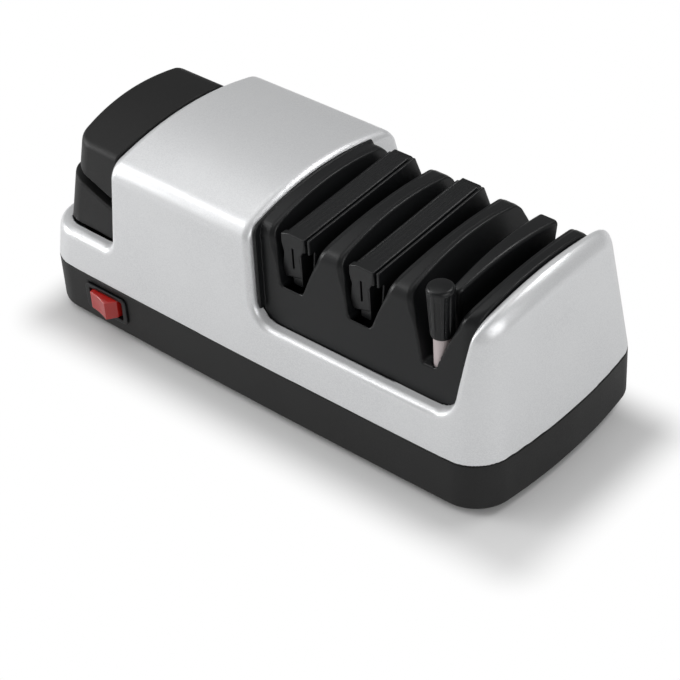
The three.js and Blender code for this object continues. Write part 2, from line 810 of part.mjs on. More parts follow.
// Solid of the module, inset all round; depth is how far its front stands in from the skin.
function moduleSolid(inset, depth = rimDepth) {
  const frontAt = (z) => halfWidthAt(z) - depth - inset;
  const bottom = inset > 0 ? moduleBottom - overrun : moduleBottom;
  const crown = ridgeShares
    .map((share) => [share * moduleFront, crownAt(share * moduleFront) - ridgeDrop - inset]);
  const profile = rounded([
    [-frontAt(bottom), bottom], [frontAt(bottom), bottom], [frontAt(openingSill), openingSill],
    [moduleBack - inset, crownAt(moduleBack) - ridgeDrop - inset, moduleBackRounding],
    ...crown,
    [-frontAt(slotMouthHeight), slotMouthHeight - inset, moduleFrontRounding],
  ]);
  const plan = saddleOutline(-clearance - inset, bottom, 0);
  return prismX(profile, -bodyLength, bodyLength).intersect(acrossBody(plan))
    .intersect(walls(depth + clearance + inset, bottom, crownTop + overrun));
}

// Flange at the module's left end, proud of its front, just inside the shell's rim
function moduleLip() {
  const sill = openingSill + clearance;
  return moduleSolid(0, lipInset)
    .intersect(acrossBody(saddleOutline(-clearance, sill, openingCorner)))
    .subtract(acrossBody(saddleOutline(-clearance - lipWidth, sill - overrun, openingCorner)))
    .intersect(box(-halfLength, slotCentres[0], -bodyWidth, bodyWidth, sill, crownTop));
}

function slotModule() {
  const hollow = moduleSolid(moduleWall).subtract(slotSpaces(moduleWall));
  const socketBottom = handleTop - handleLength + handleGrip - honeStickLength - honeSocketFloor;
  const bore = honeRadius + honeRunning;
  const socket = turnedZ(rodProfile(bore + honeSocketWall, socketBottom - honeSocketFloor, honeSlotFloor))
    .translate([honeX, -honeSetback, 0]);
  const socketBore = turnedZ(rodProfile(bore, socketBottom, honeSlotFloor + overrun))
    .translate([honeX, -honeSetback, 0]);
  const windows = slotCentres.slice(0, 2).flatMap((x) => [-1, 1].map((side) => {
    const [a, b] = [x + side * wheelWindow, x + side * wheelWindowOuter].sort((p, q) => p - q);
    const bottom = slotFloor - moduleWall - overrun;
    return box(a, b, -wheelWindowHalf, wheelWindowHalf, bottom, slotFloor + overrun);
  }));
  return moduleSolid(0).subtract(hollow).add(moduleLip()).subtract(slotSpaces(0)).add(socket)
    .subtract(joined([socketBore, shaftWay(), ...windows]));
}

// Spring guide: a cap on a stem with a shaped front face, and a leaf on each side

function crownBand(front, back, drop, floorHeight) {
  const top = bandShares.map((share) => {
    const y = THREE.MathUtils.lerp(-front, back, share);
    return [y, crownAt(y) - drop];
  });
  return [[-front, floorHeight], [back, floorHeight], ...top.reverse()];
}

function guideCore() {
  const top = crownTop + overrun;
  const toe = slotFloor + clearance;
  const body = [
    [-guideStemHalf, toe], [guideStemHalf, toe], [guideStemHalf, guideCapBottom],
    [guideHalf, guideCapBottom], [guideHalf, top], [-guideHalf, top],
    [-guideHalf, guideCapBottom], [-guideStemHalf, guideCapBottom],
  ].map(([x, z]) => new THREE.Vector2(x, z));
  const toeHeight = slotFloor + guideToeRise;
  const waistHeight = slotFloor + guideWaistRise;
  const side = [
    [guideHookHalf, toe], [guideHookHalf, toeHeight - guideHookHalf],
    [guideToeHalf, toeHeight, guideHookHalf],
    [guideCheekHalf, slotFloor + guideCheekRise, guideToeHalf],
    [guideWaistHalf, waistHeight, guideToeHalf], [guideHalf, guideCapBottom, guideHookHalf],
    [guideHalf, top],
  ];
  const face = rounded([...side, ...side.map(([x, z, r]) => [-x, z, r]).reverse()]);
  const slit = box(-guideSlitHalf, guideSlitHalf, -guideFront - overrun, -guideFront + guideSlitDepth,
    toeHeight + guideHookHalf, waistHeight);
  const envelope = (front, back, proud) => (
    prismX(rounded(crownBand(front, back, -proud, toe)), -slotPitch, slotPitch));
  const ridgeRight = guideHalf - guideRidgeInset;
  const ridge = box(ridgeRight - guideRidgeWidth, ridgeRight, -bodyWidth, bodyWidth, guideCapBottom, top)
    .intersect(envelope(guideFront - guideRidgeWidth, guideBack - guideRidgeWidth, guideProud));
  const tabs = [-1, 1].map((side) => {
    const [a, b] = [side * guideTabInset, side * guideTabHalf].sort((p, q) => p - q);
    return box(a, b, -guideFront, -guideFront + guideTabDepth, toe, toe + guideTabHeight);
  });
  return prismY(body, -bodyWidth, bodyWidth)
    .add(prismY(face, -guideFront, -guideFront + guideFaceDepth))
    .intersect(envelope(guideFront, guideBack, guideProud - guideRidgeRise))
    .add(ridge).add(joined(tabs)).subtract(slit);
}

// side is -1 for the left leaf and 1 for the right one
function guideLeaf(side) {
  const slope = (leafTopOffset - leafFootOffset) / (slotMouthHeight - leafFoot);
  const offsetAt = (z) => leafFootOffset + slope * (z - leafFoot);
  const top = crownTop + overrun;
  const section = [
    [side * offsetAt(leafFoot), leafFoot], [side * (offsetAt(leafFoot) + leafThickness), leafFoot],
    [side * (offsetAt(top) + leafThickness), top], [side * offsetAt(top), top],
  ].map(([x, z]) => new THREE.Vector2(x, z));
  const front = guideFront - leafSetback;
  const band = crownBand(front, guideBack, leafDrop, leafFoot);
  const notch = guideFront - guideFaceDepth - clearance;
  const outline = [
    [-notch, leafFoot], ...band.slice(1), [-front, guideCapBottom], [-notch, guideCapBottom],
  ];
  return prismY(section, -bodyWidth, bodyWidth)
    .intersect(prismX(outline.map(([y, z]) => new THREE.Vector2(y, z)), -slotPitch, slotPitch));
}

function stageDivider() {
  const foot = honeSlotFloor + clearance;
  const rings = bandShares.map((share) => {
    const y = THREE.MathUtils.lerp(-dividerFront, dividerBack, share);
    const half = THREE.MathUtils.lerp(dividerFrontHalf, dividerBackHalf, share);
    const top = crownAt(y) - dividerDrop;
    return [
      [-dividerFootHalf, foot], [dividerFootHalf, foot], [half, top - half / 2],
      [half / 2, top], [-half / 2, top], [-half, top - half / 2],
    ].map(([x, z]) => new THREE.Vector3(x, y, z));
  });
  return loft(rings, seenFromFront);
}

// Hone: local height 0 is the bottom of the handle

function honeHandle() {
  const round = (angle) => [
    handleTopRadius - handleRounding * (1 - Math.cos(angle)),
    handleLength - handleRounding * (1 - Math.sin(angle)),
  ];
  const grip = turnedZ([
    [0, 0], [handleFootRadius - handleRounding / 2, 0], [handleFootRadius, handleRounding],
    ...roundingShares.map((share) => round(share * Math.PI / 2)), [0, handleLength],
  ]);
  const splay = Math.atan2(handleTopRadius - handleFootRadius, handleLength);
  const flutes = Array.from({ length: handleFlutes }, (_, i) => (
    turnedZ(rodProfile(fluteRadius, fluteStart, handleLength - fluteStop), smallSteps)
      .rotate([0, THREE.MathUtils.radToDeg(splay), 0])
      .translate([handleFootRadius + fluteRadius - fluteDepth, 0, 0])
      .rotate([0, 0, i * 360 / handleFlutes])));
  const bore = turnedZ(rodProfile(honeRadius + clearance, -overrun, handleGrip + clearance));
  return grip.subtract(joined(flutes)).subtract(bore);
}

function honeRod() {
  const bottom = handleGrip - honeStickLength;
  return turnedZ([
    [0, bottom], [honeRadius - honeTip, bottom], [honeRadius, bottom + honeTip],
    [honeRadius, handleGrip], [0, handleGrip],
  ]);
}

// Rocker switch, built round its own centre on the face of the base wall

function faceAt(x) {
  const a = halfLength - endBow;
  return -(halfWidth - sideBow * (x / a) ** 2);
}

function plate(width, height, y0, y1, radius) {
  const [w, h] = [width / 2, height / 2];
  return prismY(rounded([[-w, -h, radius], [w, -h, radius], [w, h, radius], [-w, h, radius]]), y0, y1);
}

function switchHole() {
  return plate(bezelBodyWidth + clearance * 2, bezelBodyHeight + clearance * 2, -halfWidth - overrun,
    -halfWidth + baseWall + overrun, bezelWall).translate([switchCentre, 0, switchHeight]);
}

function switchBezel() {
  const flange = plate(bezelWidth, bezelHeight, -bezelProud, -clearance, bezelRim);
  const body = plate(bezelBodyWidth, bezelBodyHeight, -bezelProud / 2, bezelBodyDepth, bezelWall);
  const well = plate(bezelBodyWidth - 2 * bezelWall, bezelBodyHeight - 2 * bezelWall,
    -bezelProud - overrun, bezelBodyDepth - bezelWall, bezelWall / 2);
  const pinHole = turnedZ(rodProfile(rockerPin + clearance, -bezelBodyHeight, bezelBodyHeight), smallSteps)
    .translate([0, rockerPivot, 0]);
  return flange.add(body).subtract(well).subtract(pinHole);
}

// A rocker on two pins, local to its pivot: a dished face between two sloping ends, its left end pressed
function switchRocker() {
  const h = rockerHeight / 2;
  const paddle = prismZ([
    [-rockerCrestHalf, -rockerCrest], [0, rockerDish - rockerCrest], [rockerCrestHalf, -rockerCrest],
    [rockerSkirtHalf, -rockerSkirt], [rockerSkirtHalf, 0], [rockerFoot, rockerDepth],
    [-rockerFoot, rockerDepth], [-rockerSkirtHalf, 0], [-rockerSkirtHalf, -rockerSkirt],
  ].map(([x, y]) => new THREE.Vector2(x, y)), -h, h);
  const pin = turnedZ(rodProfile(rockerPin, -h - rockerPinReach, h + rockerPinReach), smallSteps);
  return paddle.add(pin).rotate([0, 0, -rockerTiltDeg]);
}

function glandHole() {
  return turnedZ(rodProfile(glandRadius + clearance, -bodyWidth, 0))
    .add(turnedZ(rodProfile(glandFlange + clearance, -glandFlangeWidth - clearance, bodyWidth)))
    .rotate([-90, 0, 0]).translate([glandX, -faceAt(glandX), glandHeight]);
}

function cordGland() {
  const inside = -baseWall - clearance;
  return turnedZ([
    [glandBore, 0], [glandFlange - clearance, 0], [glandFlange, -clearance], [glandFlange, -glandFlangeWidth],
    [glandRadius, -glandFlangeWidth], [glandRadius, inside], [glandFlange, inside],
    [glandRadius, inside - glandLock], [glandBore, inside - glandLock], [glandBore, 0],
  ]).rotate([-90, 0, 0]);
}

// Motor, along X with the axis at local height 0

function motorCan() {
  const outer = turnedX([
    [bearingRadius + clearance, motorRight - motorWall], [motorRadius - motorWall, motorRight - motorWall],
    [motorRadius - motorWall, motorLeft], [motorRadius, motorLeft], [motorRadius, motorRight - motorWall],
    [motorRadius - motorWall, motorRight], [bearingRadius + clearance, motorRight],
    [bearingRadius + clearance, motorRight - motorWall],
  ], motorSteps);
  const holes = [-1, 1].map((side) => turnedX(rodProfile(motorScrewShank + clearance,
    motorRight - overrun, motorRight + overrun), smallSteps).translate([0, side * motorScrewOffset, 0]));
  return outer.subtract(joined(holes));
}

function motorEndCap() {
  const outer = motorRadius - motorWall - clearance;
  const left = motorLeft - endCapThickness / 2;
  const cap = turnedX(ringProfile(bearingRadius + clearance, outer, left, left + endCapThickness));
  const vent = turnedX(rodProfile(brushWidth / 2, left - overrun, motorLeft + endCapThickness), smallSteps)
    .translate([0, (outer + bearingRadius) / 2, 0]);
  const vents = Array.from({ length: endCapVents }, (_, i) => (
    vent.rotate([(i + 1 / 2) * 360 / endCapVents, 0, 0])));
  return cap.subtract(joined(vents));
}

// A magnet arc on the can's wall; side is 1 for the back one and -1 for the front one
function motorMagnet(side) {
  const ring = turnedX(ringProfile(magnetInner, motorRadius - motorWall - clearance,
    rotorLeft - magnetOverhang, rotorLeft + rotorLength + magnetOverhang), motorSteps);
  const edge = Math.tan(THREE.MathUtils.degToRad(90 - magnetSpanDeg / 2));
  const reach = motorRadius * 2;
  const wedge = prismX([[0, 0], [reach * side, reach / edge * side], [reach * side, -reach / edge * side]]
    .map(([y, z]) => new THREE.Vector2(y, z)), motorLeft, motorRight);
  return ring.intersect(wedge);
}

function rotorCore() {
  const core = turnedX(ringProfile(motorShaftRadius + clearance, rotorRadius, rotorLeft,
    rotorLeft + rotorLength), roundSteps);
  const slots = Array.from({ length: rotorSlots }, (_, i) => (
    box(motorLeft, motorRight, -rotorSlotWidth / 2, rotorSlotWidth / 2,
      rotorRadius - rotorSlotDepth, rotorRadius + overrun).rotate([i * 360 / rotorSlots, 0, 0])));
  return core.subtract(joined(slots));
}

function coolingFan() {
  const left = fanLeft;
  const hub = turnedX(rodProfile(fanHub, left, left + fanWidth));
  const blades = Array.from({ length: fanBlades }, (_, i) => (
    box(-fanWidth / 2 + fanBlade / 2, fanWidth / 2 - fanBlade / 2, -fanBlade / 2, fanBlade / 2,
      fanHub / 2, fanRadius).rotate([0, 0, fanPitchDeg]).rotate([i * 360 / fanBlades, 0, 0])
      .translate([left + fanWidth / 2, 0, 0])));
  const bore = turnedX(rodProfile(motorShaftRadius + clearance, left - overrun, left + fanWidth + overrun));
  return hub.add(joined(blades)).subtract(bore);
}

function motorBracket() {
  const left = motorRight + clearance;
  const right = left + bracketThickness;
  const top = axisHeight + bracketRise;
  const w = bracketWidth / 2;
  const plateSolid = prismX(rounded([
    [-w, standOnFloor], [w, standOnFloor], [w, top, bracketRounding], [-w, top, bracketRounding],
  ]), left, right);
  const shelf = box(left - bracketFoot, right, -w, w, standOnFloor, standOnFloor + bracketThickness);
  const hole = (radius, y) => turnedX(rodProfile(radius, left - overrun, right + overrun))
    .translate([0, y, axisHeight]);
  return plateSolid.add(shelf).subtract(joined([
    hole(bearingRadius + clearance * 2, 0), hole(motorScrewShank + clearance, -motorScrewOffset),
    hole(motorScrewShank + clearance, motorScrewOffset),
  ]));
}

function motorScrew() {
  const seat = motorRight + clearance * 2 + bracketThickness;
  return turnedX([
    [0, seat - motorScrewLength], [motorScrewShank, seat - motorScrewLength], [motorScrewShank, seat],
    [motorScrewHead, seat], [motorScrewHead, seat + motorScrewHeadHeight / 2],
    [motorScrewHead / 2, seat + motorScrewHeadHeight], [0, seat + motorScrewHeadHeight],
  ], smallSteps);
}

function shaftCoupling() {
  const [a, b] = [motorShaftRadius + clearance, spindleRadius + clearance];
  return turnedX([
    [a, couplingLeft], [couplingRadius, couplingLeft], [couplingRadius, couplingRight],
    [b, couplingRight], [b, couplingMiddle], [a, couplingMiddle], [a, couplingLeft],
  ]);
}

function bearingPillar(x) {
  const [a, b] = [x - pillarThickness / 2, x + pillarThickness / 2];
  const w = pillarWidth / 2;
  const top = axisHeight + pillarRise;
  const plateSolid = prismX(rounded([
    [-w, standOnFloor], [w, standOnFloor], [w, top, pillarRounding], [-w, top, pillarRounding],
  ]), a, b);
  const shelf = box(x - pillarFoot / 2, x + pillarFoot / 2, -w, w, standOnFloor,
    standOnFloor + bracketThickness);
  const bore = turnedX(rodProfile(bushRadius + clearance, a - overrun, b + overrun))
    .translate([0, 0, axisHeight]);
  return plateSolid.add(shelf).subtract(bore);
}

// side is the direction in which the wheel's cone faces its knife slot
function abrasiveWheel(side) {
  const bore = spindleRadius + clearance;
  const profile = [
    [bore, 0], [wheelHub, 0], [wheelRadius - wheelRim, wheelHubWidth - wheelRim - clearance],
    [wheelRadius, wheelHubWidth - wheelRim], [wheelRadius, wheelHubWidth],
    [wheelHub, wheelPlate], [bore, wheelPlate], [bore, 0],
  ].map(([r, x]) => [r, -side * (x - wheelHubWidth / 2)]);
  return turnedX(profile, motorSteps);
}

function wheelSpring() {
  const half = wheelOffset + wheelHubWidth / 2 - wheelPlate - springWire / 2 - clearance;
  class Helix extends THREE.Curve {
    getPoint(t, target = new THREE.Vector3()) {
      const angle = t * springTurns * 2 * Math.PI;
      return target.set((2 * t - 1) * half, springRadius * Math.cos(angle), springRadius * Math.sin(angle));
    }
  }
  const section = Array.from({ length: wireSteps }, (_, i) => {
    const angle = i * 2 * Math.PI / wireSteps;
    return new THREE.Vector2(Math.cos(angle), Math.sin(angle)).multiplyScalar(springWire / 2);
  });
  return solidOf(new THREE.ExtrudeGeometry(new THREE.Shape(section), {
    steps: Math.round(springTurns * coilSteps), extrudePath: new Helix(), bevelEnabled: false,
  }));
}

// Assembly

function mesh(name, solid, material) {
  const { vertProperties, triVerts } = solid.getMesh();
  const geometry = new THREE.BufferGeometry();
  geometry.setAttribute('position', new THREE.BufferAttribute(new Float32Array(vertProperties), 3));
  geometry.setIndex(Array.from(triVerts));
  const flat = geometry.toNonIndexed();
  flat.computeVertexNormals();
  const piece = new THREE.Mesh(flat, material);
  piece.name = name;
  return piece;
}

function group(x, y, z, ...children) {
  const made = new THREE.Group();
  made.position.set(x, y, z);
  made.add(...children);
  return made;
}

function placed(piece, x, y, z) {
  piece.position.set(x, y, z);
  return piece;
}

function casing() {
  const places = ['front_left', 'front_right', 'back_left', 'back_right'];
  const screw = caseScrew();
  const pad = foot();
  return group(0, 0, 0,
    mesh('upper_shell', upperShell(), materials.silver),
    mesh('base_tray', baseTray(), materials.black),
    mesh('end_shroud', endShroud(), materials.black),
    mesh('vent_block', ventBlock(), materials.black),
    mesh('slot_module', slotModule(), materials.black),
    ...places.map((place, i) => {
      const [x, y] = cornerPlaces(footX, footY)[i];
      return placed(mesh(`foot_${place}`, pad, materials.rubber), x, y, 0);
    }),
    ...places.map((place, i) => {
      const [x, y] = cornerPlaces(postX, postY)[i];
      return placed(mesh(`case_screw_${place}`, screw, materials.steel), x, y,
        standHeight + headSeat - clearance);
    }));
}

function slotFittings() {
  const guides = slotCentres.slice(0, 2).map((x, i) => group(x, 0, 0,
    mesh(`guide_core_${i + 1}`, guideCore(), materials.glossBlack),
    mesh(`guide_leaf_${i + 1}_left`, guideLeaf(-1), materials.glossBlack),
    mesh(`guide_leaf_${i + 1}_right`, guideLeaf(1), materials.glossBlack)));
  const hone = group(honeX, -honeSetback, handleTop - handleLength,
    mesh('hone_handle', honeHandle(), materials.black),
    mesh('hone_rod', honeRod(), materials.ceramic));
  return group(0, 0, 0, ...guides, hone,
    placed(mesh('stage_divider', stageDivider(), materials.glossBlack), honeX, 0, 0));
}

function switchAndInlet() {
  return group(0, 0, 0,
    group(switchCentre, faceAt(switchCentre), switchHeight,
      mesh('switch_bezel', switchBezel(), materials.black),
      placed(mesh('switch_rocker', switchRocker(), materials.red), 0, rockerPivot, 0)),
    placed(mesh('cord_gland', cordGland(), materials.rubber), glandX, -faceAt(glandX), glandHeight));
}

function motor() {
  const brushFrom = commutatorRadius + clearance;
  const brushX = commutatorLeft + commutatorLength / 2;
  const brush = (side) => {
    const [y0, y1] = [side * brushFrom, side * (brushFrom + brushLength)].sort((a, b) => a - b);
    return box(brushX - brushWidth / 2, brushX + brushWidth / 2, y0, y1, -brushWidth / 2, brushWidth / 2);
  };
  const bearing = (x) => turnedX(ringProfile(motorShaftRadius + clearance, bearingRadius,
    x - bearingWidth / 2, x + bearingWidth / 2));
  return group(0, 0, axisHeight,
    mesh('motor_can', motorCan(), materials.darkSteel),
    mesh('motor_end_cap', motorEndCap(), materials.black),
    mesh('motor_magnet_front', motorMagnet(-1), materials.ferrite),
    mesh('motor_magnet_back', motorMagnet(1), materials.ferrite),
    mesh('motor_brush_front', brush(-1), materials.ferrite),
    mesh('motor_brush_back', brush(1), materials.ferrite),
    mesh('motor_bearing_front', bearing(motorRight - motorWall / 2), materials.steel),
    mesh('motor_bearing_rear', bearing(motorLeft), materials.steel),
    placed(mesh('motor_screw_front', motorScrew(), materials.steel), 0, -motorScrewOffset, 0),
    placed(mesh('motor_screw_back', motorScrew(), materials.steel), 0, motorScrewOffset, 0));
}

function spindle() {
  const sides = [-1, 1, -1, 1];
  return group(0, 0, axisHeight,
    mesh('motor_shaft', turnedX(rodProfile(motorShaftRadius, fanLeft - clearance,
      couplingMiddle - clearance)), materials.steel),
    mesh('rotor_core', rotorCore(), materials.copper),
    mesh('commutator', turnedX(ringProfile(motorShaftRadius + clearance, commutatorRadius,
      commutatorLeft, commutatorLeft + commutatorLength)), materials.copper),
    mesh('cooling_fan', coolingFan(), materials.black),
    mesh('shaft_coupling', shaftCoupling(), materials.rubber),
    mesh('spindle_shaft', turnedX(rodProfile(spindleRadius, couplingMiddle + clearance,
      spindleEnd)), materials.steel),
    ...wheelCentres.map((x, i) => placed(
      mesh(`abrasive_wheel_${i + 1}`, abrasiveWheel(sides[i]), materials.abrasive), x, 0, 0,
    )),
    ...slotCentres.slice(0, 2).map((x, i) => placed(
      mesh(`wheel_spring_${i + 1}`, wheelSpring(), materials.steel), x, 0, 0,
    )));
}

function spindleSupports() {
  const bush = turnedX(ringProfile(spindleRadius + clearance, bushRadius, -bushWidth / 2, bushWidth / 2));
  return group(0, 0, 0,
    mesh('motor_bracket', motorBracket(), materials.steel),
    ...['left', 'right'].map((place, i) => (
      mesh(`spindle_pillar_${place}`, bearingPillar(pillarCentres[i]), materials.black))),
    ...['left', 'right'].map((place, i) => placed(
      mesh(`spindle_bush_${place}`, bush, materials.brass), pillarCentres[i], 0, axisHeight,
    )));
}

function electrics() {
  const middle = boardLeft + boardLength / 2;
  const top = boardHeight + boardThickness + leadGap;
  const board = box(boardLeft, boardLeft + boardLength, -boardWidth / 2, boardWidth / 2,
    boardHeight, boardHeight + boardThickness);
  return group(0, 0, 0,
    mesh('circuit_board', board, materials.board),
    mesh('capacitor', turnedZ(rodProfile(capacitorRadius, top, top + capacitorHeight))
      .translate([middle, boardWidth / 4, 0]), materials.glossBlack),
    mesh('rectifier', box(middle - rectifierWidth / 2, middle + rectifierWidth / 2,
      -boardWidth / 4 - rectifierDepth, -boardWidth / 4, top, top + rectifierHeight), materials.black));
}

// The part's origin is the centre of its footprint, the proud rocker included
const sharpener = new THREE.Group();
const pieces = group(0, 0, 0,
  casing(), slotFittings(), switchAndInlet(), motor(), spindle(), spindleSupports(), electrics());
const middle = new THREE.Box3().setFromObject(pieces).getCenter(new THREE.Vector3());
pieces.position.set(-middle.x, -middle.y, 0);
sharpener.add(pieces);

export default sharpener;
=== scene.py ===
"""Studio scene of an electric knife sharpener: a silver saddle-cut casing over a black slot module.

Sizes are millimetres in the classes and become metres only where a mesh is made.
"""

import logging
import math
from dataclasses import dataclass, field
from enum import Enum
from typing import Callable, Sequence

import bpy
import numpy as np
from mathutils import Matrix, Vector


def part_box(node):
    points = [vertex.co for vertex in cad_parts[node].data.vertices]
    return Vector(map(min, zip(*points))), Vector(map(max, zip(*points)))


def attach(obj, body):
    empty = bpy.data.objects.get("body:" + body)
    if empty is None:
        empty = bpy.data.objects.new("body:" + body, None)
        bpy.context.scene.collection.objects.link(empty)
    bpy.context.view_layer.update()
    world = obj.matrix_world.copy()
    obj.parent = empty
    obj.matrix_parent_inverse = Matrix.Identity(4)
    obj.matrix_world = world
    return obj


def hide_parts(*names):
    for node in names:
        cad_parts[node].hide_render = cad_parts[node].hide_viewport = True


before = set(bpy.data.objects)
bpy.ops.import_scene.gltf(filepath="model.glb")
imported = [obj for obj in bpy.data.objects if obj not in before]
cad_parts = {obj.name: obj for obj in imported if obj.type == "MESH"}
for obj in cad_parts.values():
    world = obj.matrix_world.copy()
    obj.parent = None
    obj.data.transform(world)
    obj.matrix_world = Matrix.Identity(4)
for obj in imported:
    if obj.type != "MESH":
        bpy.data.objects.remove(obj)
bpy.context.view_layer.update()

log = logging.getLogger("sharpener")

Array = np.ndarray
Field = Callable[[Array, Array, Array], Array]
Lines = tuple[Array, Array, Array]
Profile = list[tuple[float, float, float]]
Tree = bpy.types.NodeTree
Socket = bpy.types.NodeSocket
Links = dict[str, Socket]

MILLIMETRE = 0.001
UP = Vector((0, 0, 1))
# Facets round a turned piece, segments in a rounded corner of its profile, and the angle in
# degrees from which an edge stays sharp.
TURN_STEPS = 72
ROUND_STEPS = 6
CREASE = 40.0
# The wave texture draws this many bands in one of its units.
WAVE_BANDS = 20.0
# A Mix node's sockets for colours: its two inputs and its output.
MIX_FIRST, MIX_SECOND, MIX_RESULT = 6, 7, 2


# Colour and shader nodes


def linear(code: str) -> tuple[float, float, float, float]:
    """Turn an sRGB hex colour into the linear values that shaders take.

    Args:
        code: the colour as "#rrggbb".

    Returns:
        Linear red, green and blue, and an alpha of one.
    """
    parts = [int(code[i : i + 2], 16) / 255 for i in (1, 3, 5)]
    red, green, blue = (
        c / 12.92 if c <= 0.04045 else ((c + 0.055) / 1.055) ** 2.4 for c in parts
    )
    return red, green, blue, 1.0


def add_node(
    tree: Tree, kind: str, links: Links | None = None, **settings: object
) -> bpy.types.Node:
    """Add a node to a tree with its settings, its input values and its links.

    Args:
        tree: the node tree.
        kind: the node's type name.
        links: output sockets by the name or the index of the input that they feed.
        settings: node properties, or values of inputs, where a space is written as "__".

    Returns:
        The new node.
    """
    node = tree.nodes.new(kind)
    for name, value in settings.items():
        if hasattr(node, name):
            setattr(node, name, value)
        else:
            node.inputs[name.replace("__", " ")].default_value = value
    for name, socket in (links or {}).items():
        tree.links.new(socket, node.inputs[int(name) if name.isdigit() else name])
    return node


class Grain(Enum):
    """How a surface was made, which sets its fine relief."""

    FLAKED = "sprayed metallic paint"
    SPARKED = "moulded in a spark-eroded tool"
    POLISHED = "moulded in a polished tool"
    FIRED = "fired ceramic"
    TURNED = "turned on a lathe"
    DRAWN = "drawn and plated sheet"
    PRESSED = "pressed powder"
    WOUND = "wound wire"


@dataclass(frozen=True)
class Finish:
    """One real material with its surface, made as a procedural shader.

    The shader's constant values stay on its own sockets, so that the export keeps them.
    """

    name: str
    colour: str
    shade: str
    grain: Grain
    roughness: float
    metallic: float = 0.0
    grain_size: float = 0.6
    relief: float = 0.05
    ior: float | None = None
    stretch: tuple[float, float, float] = (1.0, 1.0, 1.0)
    drift_size: float = 40.0
    wander: float = 0.06
    wander_from: tuple[float, float] = (0.6, 1.4)
    least_roughness: float = 0.02

    def material(self) -> bpy.types.Material:
        """Build the shader once and hand back the same one afterwards.

        Returns:
            The material.
        """
        known = bpy.data.materials.get(self.name)
        if known:
            return known
        made = bpy.data.materials.new(self.name)
        made.use_nodes = True
        made.diffuse_color = linear(self.colour)
        tree = made.node_tree
        tree.nodes.clear()
        place = add_node(tree, "ShaderNodeTexCoord").outputs["Object"]
        scaled = add_node(
            tree, "ShaderNodeMapping", {"Vector": place}, Scale=self.stretch
        ).outputs["Vector"]
        pattern = self.pattern(tree, scaled)
        scale = 1 / (self.drift_size * MILLIMETRE)
        broad = add_node(
            tree, "ShaderNodeTexNoise", {"Vector": place}, Scale=scale, Detail=2.0
        ).outputs["Fac"]
        shader = add_node(
            tree,
            "ShaderNodeBsdfPrincipled",
            {
                "Base Color": self.tint(tree, pattern, broad),
                "Roughness": self.gloss(tree, pattern, broad),
                "Normal": self.relief_of(tree, pattern),
            },
            Metallic=self.metallic,
        )
        if self.ior is not None:
            shader.inputs["IOR"].default_value = self.ior
        add_node(tree, "ShaderNodeOutputMaterial", {"Surface": shader.outputs["BSDF"]})
        return made

    def pattern(self, tree: Tree, place: Socket) -> Socket:
        """Make the fine pattern that the grain gives, from 0 to 1.

        Args:
            tree: the material's node tree.
            place: the coordinates in metres.

        Returns:
            The socket with the pattern.
        """
        scale = 1 / (self.grain_size * MILLIMETRE)
        if self.grain in (Grain.FLAKED, Grain.PRESSED):
            cells = add_node(tree, "ShaderNodeTexVoronoi", {"Vector": place}, Scale=scale)
            apart = add_node(tree, "ShaderNodeSeparateColor", {"Color": cells.outputs["Color"]})
            return apart.outputs["Red"]
        if self.grain is Grain.WOUND:
            bands = add_node(
                tree, "ShaderNodeTexWave", {"Vector": place}, Scale=scale / WAVE_BANDS,
                Distortion=0.4,
            )
            return bands.outputs["Fac"]
        if self.grain in (Grain.TURNED, Grain.DRAWN):
            lines = add_node(
                tree, "ShaderNodeTexNoise", {"Vector": place}, Scale=scale, Detail=4.0
            )
            return lines.outputs["Fac"]
        speckle = add_node(
            tree, "ShaderNodeTexNoise", {"Vector": place}, Scale=scale, Detail=3.0, Roughness=0.6
        )
        return speckle.outputs["Fac"]

    def tint(self, tree: Tree, pattern: Socket, broad: Socket) -> Socket:
        """Mix the colour with its darker shade over the fine and the broad pattern.

        Args:
            tree: the material's node tree.
            pattern: the fine pattern.
            broad: the slow drift over the piece.

        Returns:
            The socket with the colour.
        """
        both = add_node(
            tree, "ShaderNodeMath", {"0": pattern, "1": broad}, operation="MULTIPLY"
        ).outputs[0]
        mix = add_node(tree, "ShaderNodeMix", data_type="RGBA")
        tree.links.new(both, mix.inputs["Factor"])
        mix.inputs[MIX_FIRST].default_value = linear(self.colour)
        mix.inputs[MIX_SECOND].default_value = linear(self.shade)
        return mix.outputs[MIX_RESULT]

    def gloss(self, tree: Tree, pattern: Socket, broad: Socket) -> Socket:
        """Let the roughness wander a little about its value.

        Args:
            tree: the material's node tree.
            pattern: the fine pattern.
            broad: the slow drift over the piece.

        Returns:
            The socket with the roughness.
        """
        mean = add_node(
            tree, "ShaderNodeMath", {"0": pattern, "1": broad}, operation="ADD"
        ).outputs[0]
        spread = add_node(
            tree,
            "ShaderNodeMapRange",
            {"Value": mean},
            From__Min=self.wander_from[0],
            From__Max=self.wander_from[1],
            To__Min=max(self.roughness - self.wander, self.least_roughness),
            To__Max=min(self.roughness + self.wander, 1.0),
        )
        return spread.outputs["Result"]

    def relief_of(self, tree: Tree, pattern: Socket) -> Socket:
        """Turn the pattern into a bump of the finish's real depth.

        Args:
            tree: the material's node tree.
            pattern: the fine pattern.

        Returns:
            The socket with the bumped normal.
        """
        bump = add_node(
            tree,
            "ShaderNodeBump",
            {"Height": pattern},
            Strength=1.0,
            Distance=self.relief * MILLIMETRE,
        )
        return bump.outputs["Normal"]


# Sprayed ABS: even satin silver, with flakes that sparkle faintly and a very soft sheen. The
# flakes are drawn at a third of a millimetre, coarser than real ones, so that they show.
SILVER = Finish("sprayed_silver_abs", "#e4e5e6", "#d2d3d5", Grain.FLAKED, 0.35, 0.48, 0.35, 0.004)
